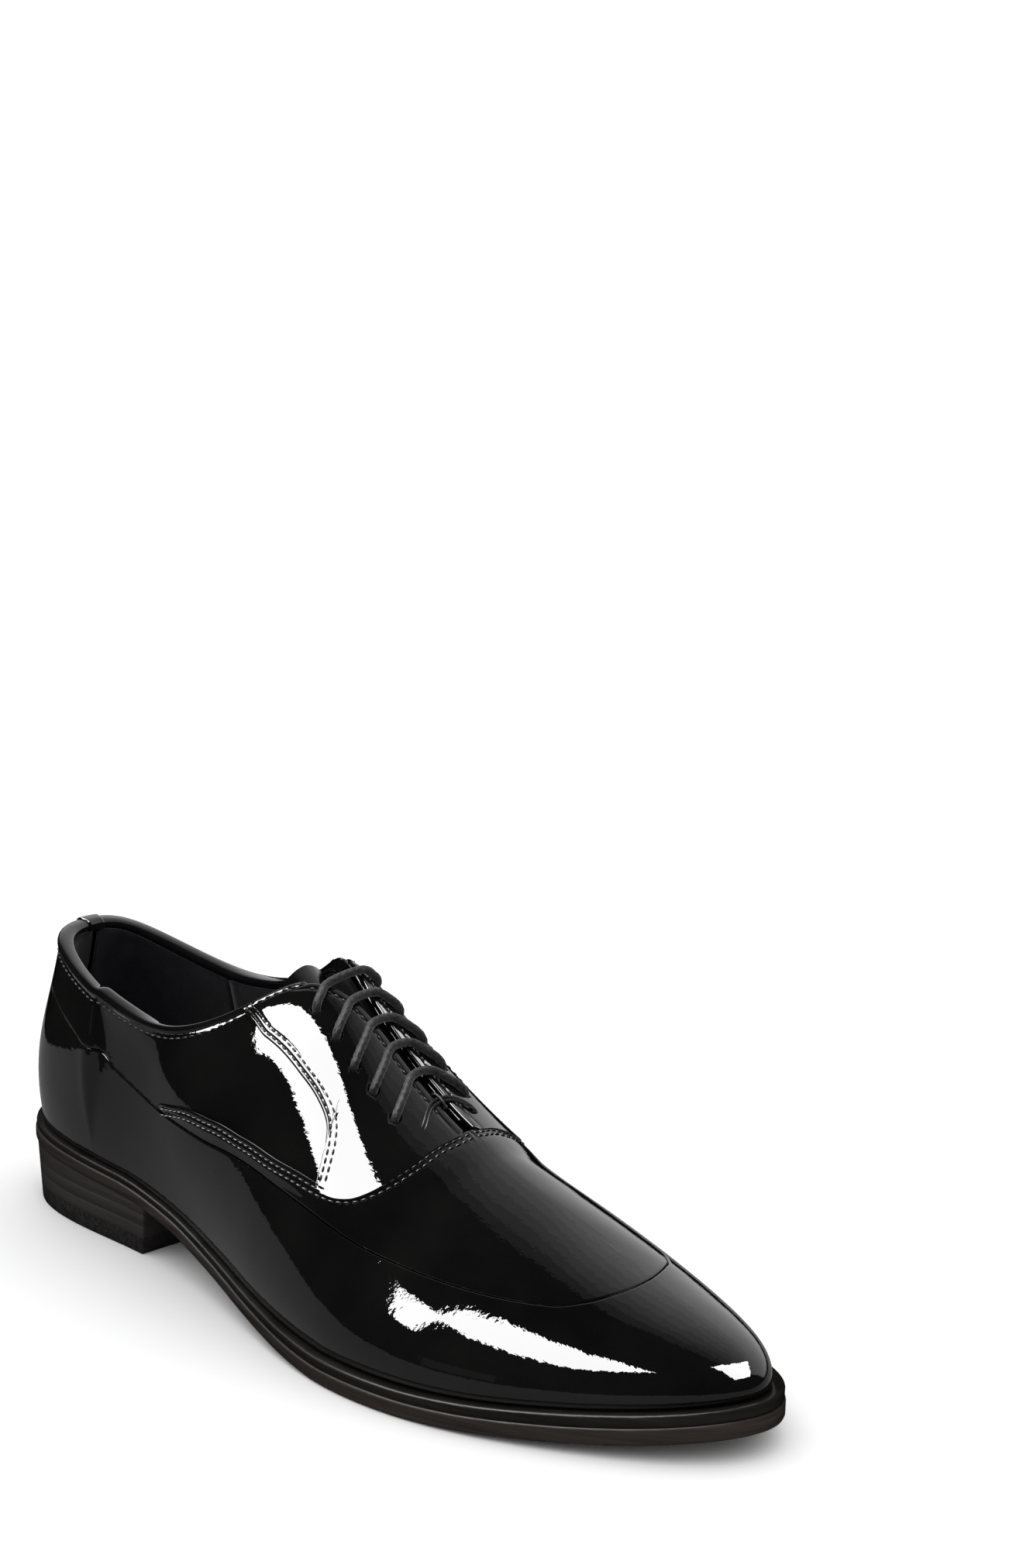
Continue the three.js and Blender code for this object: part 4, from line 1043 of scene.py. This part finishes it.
def make_lace_tail(side):
    path = to_frame(resample(catmull(TAILS[side]), 1.5))
    curve = bpy.data.curves.new(f"lace_end_{side}", "CURVE")
    curve.dimensions = "3D"
    curve.bevel_depth = LACE_RADIUS * MM
    curve.bevel_resolution = 4
    curve.use_fill_caps = True
    spline = curve.splines.new("POLY")
    spline.points.add(len(path) - 1)
    for point, place in zip(spline.points, path):
        point.co = (*place, 1)
    curve.materials.append(LACE)
    piece = bpy.data.objects.new(f"lace_end_{side}", curve)
    bpy.context.scene.collection.objects.link(piece)
    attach(piece, "shoe")
    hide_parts(f"lace_tail_{side}")


def make_throat_tack():
    """Two strands across the bottom of the gap, bound together in the middle."""
    row, v = TACK_HOLE
    lift = FACING_HEIGHT + TACK_STRAND_RADIUS
    strands = []
    for shift in (-TACK_SPREAD, TACK_SPREAD):
        lateral, medial = (row + shift, v), (ROWS - row - shift, v)
        near, far = (
            [hole_point(hole, 0.4), towards_edge(hole, 0.1, lift), towards_edge(hole, 0.8, lift + 0.1)]
            for hole in (lateral, medial))
        strands.append(resample(catmull(near + far[::-1]), 0.3))
    first, second = (strand[len(strand) // 2] for strand in strands)
    along = unit(second - first)
    up = upper_normal(row, 1.0)
    reach, dip, rise = along * TACK_BAR_END, up * TACK_BAR_DIP, up * TACK_BAR_RISE
    bar = catmull([first - reach - dip, first - reach / 2 + rise,
                   second + reach / 2 + rise, second + reach - dip])
    paths = [*strands, resample(bar, 0.3)]
    tubes = [tube_rings(path, lambda length, angles: TACK_STRAND_RADIUS + 0 * angles, 10) for path in paths]
    piece = thread_piece("throat_tack_thread", tubes)
    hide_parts("throat_tack")


# ---------------------------------------------------------------- stitches
STITCH_LENGTH = 2.1
STITCH_GAP = 0.5
STITCH_RISE = 0.16
STITCH_DIP = 0.5
STITCH_TAPER = 0.45
THREAD_RADIUS = 0.27
THREAD_SINK = 0.1
VAMP_STITCH_ROWS = (VAMP_TIP + 0.12, THROAT - 0.02)
FACING_STITCH_ROWS = (7.2, 9.95)
TOP_STITCH_ROWS = (6.35, TOPLINE_STITCH_END)
QUARTER_STITCH_ROWS = (0.42, 6.05)


def inset_line(s, v, distance):
    """A line on the upper, moved sideways over it; a positive distance is to its left from outside."""
    s = np.asarray(s, float)
    v = np.asarray(v, float)
    points = upper_point(s, v)
    along = unit(np.gradient(points, axis=0))
    across = unit(np.cross(upper_normal(s, v), along))
    step = 0.002
    by_s = (upper_point(s + step, v) - upper_point(s - step, v)) / (2 * step)
    by_v = (upper_point(s, v + step) - upper_point(s, v - step)) / (2 * step)
    ss, sv, vv = (by_s ** 2).sum(-1), (by_s * by_v).sum(-1), (by_v ** 2).sum(-1)
    ts, tv = (by_s * across).sum(-1), (by_v * across).sum(-1)
    scale = distance / (ss * vv - sv ** 2)
    return s + (vv * ts - sv * tv) * scale, v + (ss * tv - sv * ts) * scale


def stitches_on(s, v, height):
    """Solids of a row of stitches along a line on the upper."""
    line = on_upper(s, v, np.full(len(s), height))
    normals = upper_normal(s, v)
    lengths = lengths_along(line)
    count = int(lengths[-1] // (STITCH_LENGTH + STITCH_GAP))
    pitch = lengths[-1] / max(1, count)
    u = np.array([0, 0.08, 0.25, 0.5, 0.75, 0.92, 1.0])
    bend = np.abs(2 * u - 1)
    rise = STITCH_RISE - STITCH_DIP * bend ** 3
    radius = THREAD_RADIUS * (1 - STITCH_TAPER * bend ** 4)
    angles = np.linspace(0, 2 * np.pi, 8, endpoint=False)
    solids = []
    for k in range(count):
        at = (k + 0.5) * pitch + (u - 0.5) * STITCH_LENGTH
        centre = read_at(at, lengths, line)
        normal = unit(read_at(at, lengths, normals))
        side = unit(np.cross(normal, unit(np.gradient(centre, axis=0))))
        spoke = np.cos(angles)[:, None] * side[:, None] + np.sin(angles)[:, None] * normal[:, None]
        solids.append((centre + normal * rise[:, None])[:, None] + spoke * radius[:, None, None])
    return solids


def side_row(side, rows, count, edge, inset, height):
    """A row of stitches at a distance in from an edge on one side; rows is its first and last."""
    s = on_side(side, np.linspace(*rows, count))
    return (*inset_line(s, edge(s), -inset * SIDES[side]), height)


def stitch_rows():
    """Every visible row of stitches, as (name, [(s, v, height)])."""
    vamp, facings, quarters, backstay = [], [], [], []
    in_facing = FACING_HEIGHT - THREAD_SINK
    for side, sign in SIDES.items():
        for distance in VAMP_STITCHES:
            vamp.append(side_row(side, VAMP_STITCH_ROWS, 900, vamp_seam, distance, VAMP_RISE * 0.95))
        rear = facing_rear(side, FACING_START + 0.02, 900)
        for distance in FACING_REAR_STITCHES:
            facings.append((*inset_line(*rear, distance * sign), in_facing))
        facings.append(side_row(side, FACING_STITCH_ROWS, 900, facing_edge, FACING_EDGE_STITCH, in_facing))
        facings.append(side_row(side, TOP_STITCH_ROWS, 400, topline_edge, BINDING_STITCH, in_facing))
        quarters.append(side_row(side, QUARTER_STITCH_ROWS, 2400, topline_edge, BINDING_STITCH, -THREAD_SINK))
    for edge, sign in ((-BACKSTAY_HALF, -1), (BACKSTAY_HALF, 1)):
        v = np.linspace(float(foxing_seam(edge)) + 0.02, float(topline_edge(edge)) - 0.02, 300)
        line = inset_line(np.full_like(v, edge), v, BACKSTAY_STITCH * sign)
        backstay.append((*line, BACKSTAY_HEIGHT - THREAD_SINK))
    return (("vamp_stitches", vamp), ("facing_stitches", facings), ("topline_stitches", quarters),
            ("backstay_stitches", backstay))


def make_stitches():
    for name, rows in stitch_rows():
        thread_piece(name, [solid for row in rows for solid in stitches_on(*row)])


# ---------------------------------------------------------------- sole and heel
def edge_section(s, section):
    """Points at the sole's edge for one s, from a table of (distance in from the outline, surface, lift)."""
    points = []
    for inset, surface_at, lift in section:
        x, y = inset_edge(s, inset)
        points.append((x, y, float(surface_at(x) + lift)))
    return points


def outsole_top(x):
    return sole_underside(x) + outsole_thickness(x)


OUTSOLE_SECTION = (
    (0.6, outsole_top, 0.0), (0.12, outsole_top, -0.25), (0.0, outsole_top, -0.8),
    (0.05, sole_underside, 0.9), (0.35, sole_underside, 0.3), (1.1, sole_underside, 0.0),
)
WELT_WIDTH = 9.0
WELT_SECTION = (
    (WELT_WIDTH, feather_height, -0.1), (2.0, feather_height, -0.1), (0.9, feather_height, -0.12),
    (0.45, feather_height, -0.35), (0.3, feather_height, -0.9),
    (0.4, outsole_top, 0.5), (0.7, outsole_top, 0.08), (WELT_WIDTH, outsole_top, 0.08),
)
TIP_STATIONS = np.array([0.001, 0.01, 0.03, 0.08, 0.18])
SOLE_STATIONS = np.concatenate([TIP_STATIONS, np.linspace(0.3, 14.7, 260), TOE_ROW - TIP_STATIONS[::-1]])
ACROSS_SOLE = np.linspace(0, 1, 15)[1:-1]


def across_sole(start, end, surface_at):
    """Points between two edges of the sole, laid on a surface."""
    points = [np.array(start) + (np.array(end) - start) * t for t in ACROSS_SOLE]
    for point in points:
        point[2] = surface_at(point[0])
    return points


def make_outsole():
    rings = []
    for s in SOLE_STATIONS:
        lateral = edge_section(s, OUTSOLE_SECTION)
        medial = edge_section(ROWS - s, OUTSOLE_SECTION)
        top = across_sole(medial[0], lateral[0], outsole_top)
        low = across_sole(lateral[-1], medial[-1], sole_underside)
        rings.append(lateral + low + medial[::-1] + top)
    piece = sweep("outsole_leather", np.array(rings, float), SOLE_EDGE)
    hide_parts("outsole")


def make_welt():
    """Strip between upper and outsole: its ledge shows outside the feather edge."""
    rings = [edge_section(s, WELT_SECTION) for s in np.linspace(0, ROWS, 560, endpoint=False)]
    piece = sweep("welt_leather", np.array(rings, float), WELT_EDGE, closed=True)
    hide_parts("welt")


BREAST_X = 74
HEEL_CENTRE = np.array([34, 1])
HEEL_TAPER = 0.05
HEEL_JOINTS = (0, 5.3, 9.3, 13.3)
HEEL_SETBACK = 0.6
HEEL_ROWS = 6
# The rounded edge of one layer: distance in, and lift from its bottom or its top.
HEEL_BOTTOM_EDGE = ((0.1, 0), (0.03, 0.04), (0, 0.1))
HEEL_TOP_EDGE = ((0, -0.1), (0.03, -0.04), (0.1, 0))


def heel_outline(inset):
    s = np.linspace(-HEEL_ROWS, HEEL_ROWS, 1201)
    edge = inset_edge(s, HEEL_SETBACK + inset)
    inside = edge[edge[:, 0] <= BREAST_X - inset]
    first, last = inside[0].copy(), inside[-1].copy()
    first[0] = last[0] = BREAST_X - inset
    breast = first + (last - first) * np.linspace(1, 0, 12)[:, None]
    loop = np.vstack([inside, breast])
    return resample(np.column_stack([loop, np.zeros(len(loop))]), 0.9)[:-1, :2]


def heel_ring(outline, height):
    z = height(outline[:, 0])
    narrow = 1 - HEEL_TAPER * (1 - z / sole_underside(outline[:, 0]))
    return np.column_stack([HEEL_CENTRE + (outline - HEEL_CENTRE) * narrow[:, None], z])


def make_heel_layer(name, low, high, material, replaced):
    count = len(heel_outline(0))
    rings = []
    for base, edge in ((low, HEEL_BOTTOM_EDGE), (high, HEEL_TOP_EDGE)):
        for inset, lift in edge:
            outline = heel_outline(inset)
            wrapped = np.vstack([outline, outline[:1]])
            at = np.linspace(0, len(outline), count, endpoint=False)
            outline = read_at(at, np.arange(len(wrapped)), wrapped)
            rings.append(heel_ring(outline, lambda x: base(x) + lift))
    piece = sweep(name, np.array(rings), material)
    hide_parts(replaced)


def make_heel():
    flat = [(lambda x, z=z: np.full(np.shape(x), float(z))) for z in HEEL_JOINTS]
    make_heel_layer("top_piece_rubber", flat[0], flat[1], HEEL_RUBBER, "heel_top_piece")
    make_heel_layer("lift_leather_1", flat[1], flat[2], HEEL_STACK, "heel_lift_1")
    make_heel_layer("lift_leather_2", flat[2], flat[3], HEEL_STACK, "heel_lift_2")
    make_heel_layer("heel_base_leather", flat[3], lambda x: sole_underside(x) - 0.02,
                    HEEL_STACK, "heel_base")


# ---------------------------------------------------------------- carried-over nodes
CAD_LOOKS = {
    "cork_filler": CORK, "shank": STEEL, "insole_board": BOARD, "heel_counter": BOARD, "toe_puff": BOARD,
    "facing_stay_lateral": DYED_BOARD, "facing_stay_medial": DYED_BOARD,
    "sock_lining": SUEDE, "vamp_lining": SUEDE, "aglet_lateral": BLACK_METAL, "aglet_medial": BLACK_METAL,
}


def dress_cad_nodes():
    eyelets = [f"eyelet_{side}_{number + 1}" for side in SIDES for number in range(len(LACE_HOLES))]
    for name, material in {**CAD_LOOKS, **dict.fromkeys(eyelets, BLACK_METAL)}.items():
        frame["nodes"][name].data.materials.clear()
        frame["nodes"][name].data.materials.append(material)


# ---------------------------------------------------------------- camera, lights, floor
CAMERA_ANGLES = (45.16, 16.40, 1.2)
CAMERA_PLACE = (1.0168, -0.9602, 0.5727)
CAMERA_LENS = 117.7
CAMERA_SENSOR = 36
CAMERA_CLIP = (0.05, 50)
FLOOR_HEIGHT = -0.0001
FLOOR_REACH = 9
WORLD_STRENGTH = 0.66
LIGHT_HEIGHT = 1.0
KEY_RADIANCE = 22
# The box over the foxing, turned to lie along the highlight it makes, and its two panels as reaches
# along the key and across it.
FOXING_KEY_TURN = math.radians(-24.3)
FOXING_KEYS = {"key_foxing": (0.44, 0.88, 0.04, 0.60), "key_waist": (0.80, 1.60, -0.04, 0.10)}
FILL_PLACE, FILL_SIZE, FILL_RADIANCE = (0, 0, 2.6), (9, 9), 0.82
SIDE_KEY_PLACE, SIDE_KEY_SIZE = (-0.625, -0.675, LIGHT_HEIGHT), (1.51, 0.85)
TOE_KEY_PLACE, TOE_KEY_SIZE = (1.0, 0.42, LIGHT_HEIGHT), (1.1, 0.9)
RIM_PLACE, RIM_SIZE, RIM_RADIANCE = (0.45, 1.5, 1.3), (1.0, 2.2), 8
SHEEN_PLACE, SHEEN_SIZE, SHEEN_RADIANCE = (-0.3, -0.5, LIGHT_HEIGHT), (1.2, 1.2), 7
# The backdrop behind the shoe and the card and floor in front fade out in steps, one panel inside another.
FADE_STEPS = 8
BACKDROP_RADIANCE = 1.1
CARD_STEPS = 3
CARD_PLACE = (-0.17, -1.6, 0.18)
CARD_RADIANCE = 0.3
GLOW_PLACE = (-0.02, -0.03, 0.0005)
GLOW_RADIANCE = 0.75
DOWNWARD = Euler((0, 0, 0)).to_quaternion()
UPWARD = Euler((math.pi, 0, 0)).to_quaternion()


def make_camera():
    azimuth, elevation, roll = (math.radians(a) for a in CAMERA_ANGLES)
    back = Vector((math.sin(azimuth) * math.cos(elevation), -math.cos(azimuth) * math.cos(elevation),
                   math.sin(elevation)))
    level = Vector((math.cos(azimuth), math.sin(azimuth), 0))
    upright = back.cross(level)
    right = level * math.cos(roll) + upright * math.sin(roll)
    camera = bpy.data.objects.new("camera", bpy.data.cameras.new("camera"))
    camera.data.sensor_width = CAMERA_SENSOR
    camera.data.lens = CAMERA_LENS
    camera.data.clip_start, camera.data.clip_end = CAMERA_CLIP
    placed = Matrix((right, back.cross(right), back)).transposed().to_4x4()
    placed.translation = CAMERA_PLACE
    camera.matrix_world = placed
    bpy.context.scene.collection.objects.link(camera)
    bpy.context.scene.camera = camera


def aimed(place, target):
    return (Vector(place) - Vector(target)).to_track_quat("Z", "Y")


def made_of(*materials):
    names = {material.name for material in materials}
    return [piece.name for piece in bpy.data.objects if names & set(piece.material_slots.keys())]


def softbox(name, place, facing, size, radiance, on=()):
    """A panel of a given radiance, seen only in the gloss of the named pieces; with none it only fills."""
    light = bpy.data.lights.new(name, "AREA")
    light.shape = "RECTANGLE"
    light.size, light.size_y = size
    light.energy = radiance * math.pi * size[0] * size[1]
    lamp = bpy.data.objects.new(name, light)
    lamp.location = place
    lamp.rotation_mode = "QUATERNION"
    lamp.rotation_quaternion = facing
    lamp.visible_glossy = bool(on)
    lamp.visible_diffuse = not on
    lamp.visible_camera = False
    bpy.context.scene.collection.objects.link(lamp)
    if on:
        lit = bpy.data.collections.new("lit_by_" + name)
        for piece in on:
            lit.objects.link(bpy.data.objects[piece])
        lamp.light_linking.receiver_collection = lit


def fading_panel(name, place, facing, sizes, radiance, on):
    """Panels of the given sizes over one another, each with its share of the radiance."""
    for step, size in enumerate(sizes):
        softbox(f"{name}_{step + 1}", place, facing, size, radiance / len(sizes), on)


def make_stage():
    """A plain floor that the gloss doesn't see; panels stand in for what it reflects."""
    mesh = bpy.data.meshes.new("floor")
    corners = [(-1, -1), (1, -1), (1, 1), (-1, 1)]
    points = [(x * FLOOR_REACH, y * FLOOR_REACH, FLOOR_HEIGHT) for x, y in corners]
    mesh.from_pydata(points, [], [(0, 1, 2, 3)])
    mesh.materials.append(surface("pale_floor", (3, 3), (0.93, 0.95), Roughness=0.7, Specular_IOR_Level=0.2))
    floor = bpy.data.objects.new("floor", mesh)
    floor.visible_glossy = False
    bpy.context.scene.collection.objects.link(floor)


def make_foxing_keys():
    turned = Euler((0, 0, FOXING_KEY_TURN)).to_quaternion()
    across = Vector((math.cos(FOXING_KEY_TURN), math.sin(FOXING_KEY_TURN), 0))
    along = Vector((math.sin(FOXING_KEY_TURN), -math.cos(FOXING_KEY_TURN), 0))
    for name, (near, far, left, right) in FOXING_KEYS.items():
        centre = along * (near + far) / 2 + across * (left + right) / 2 + Vector((0, 0, LIGHT_HEIGHT))
        softbox(name, centre, turned, (right - left, far - near), KEY_RADIANCE, ["foxing_patent"])


def make_lights():
    patent = made_of(PATENT)
    sides = [name for name in patent if name.startswith(("facing", "quarter", "backstay", "heel"))]
    sides.append("vamp_stitches")
    matt = made_of(LACE, THREAD, WELT_EDGE, SOLE_EDGE, HEEL_STACK)
    softbox("fill", FILL_PLACE, DOWNWARD, FILL_SIZE, FILL_RADIANCE)
    softbox("key_sides", SIDE_KEY_PLACE, DOWNWARD, SIDE_KEY_SIZE, KEY_RADIANCE, sides)
    make_foxing_keys()
    softbox("key_toe", TOE_KEY_PLACE, DOWNWARD, TOE_KEY_SIZE, KEY_RADIANCE, ["foxing_patent"])
    softbox("rim", RIM_PLACE, aimed(RIM_PLACE, (0, 0.02, 0.08)), RIM_SIZE, RIM_RADIANCE,
            ["facing_patent_medial"])
    softbox("sheen", SHEEN_PLACE, DOWNWARD, SHEEN_SIZE, SHEEN_RADIANCE, matt)
    for step in range(FADE_STEPS):
        share = 1 - 0.6 * step / FADE_STEPS
        place = (-0.6, 1.26, 0.30 + 0.22 * share)
        softbox(f"backdrop_{step + 1}", place, aimed(place, (-0.6, 0.8, -0.42)), (3.2, 2.5 * share),
                BACKDROP_RADIANCE / FADE_STEPS, patent)
    shares = [1 - 0.5 * step / CARD_STEPS for step in range(CARD_STEPS)]
    fading_panel("front_card", CARD_PLACE, aimed(CARD_PLACE, (0, 0, 0.02)),
                 [(0.5 * share, 0.34 * share) for share in shares], CARD_RADIANCE, patent)
    fading_panel("floor_glow", GLOW_PLACE, UPWARD, [(0.62 * share, 0.5 * share) for share in shares],
                 GLOW_RADIANCE, patent)


def make_world():
    """White surroundings that light everything but show in no gloss."""
    world = bpy.data.worlds.new("studio")
    world.use_nodes = True
    background = world.node_tree.nodes["Background"]
    background.inputs["Color"].default_value = (1, 1, 1, 1)
    background.inputs["Strength"].default_value = WORLD_STRENGTH
    bpy.context.scene.world = world
    world.cycles_visibility.glossy = False
    bpy.context.scene.view_settings.view_transform = "Standard"


# ---------------------------------------------------------------- assembly
make_camera()
for side in SIDES:
    make_lace_tail(side)
make_lace()
make_foxing()
make_vamp()
for side in SIDES:
    make_quarter(side)
    make_facing(side)
make_backstay()
make_binding()
make_heel_tab()
make_linings()
make_tongue()
make_throat_tack()
make_stitches()
make_outsole()
make_welt()
make_heel()
dress_cad_nodes()
make_stage()
make_lights()
make_world()
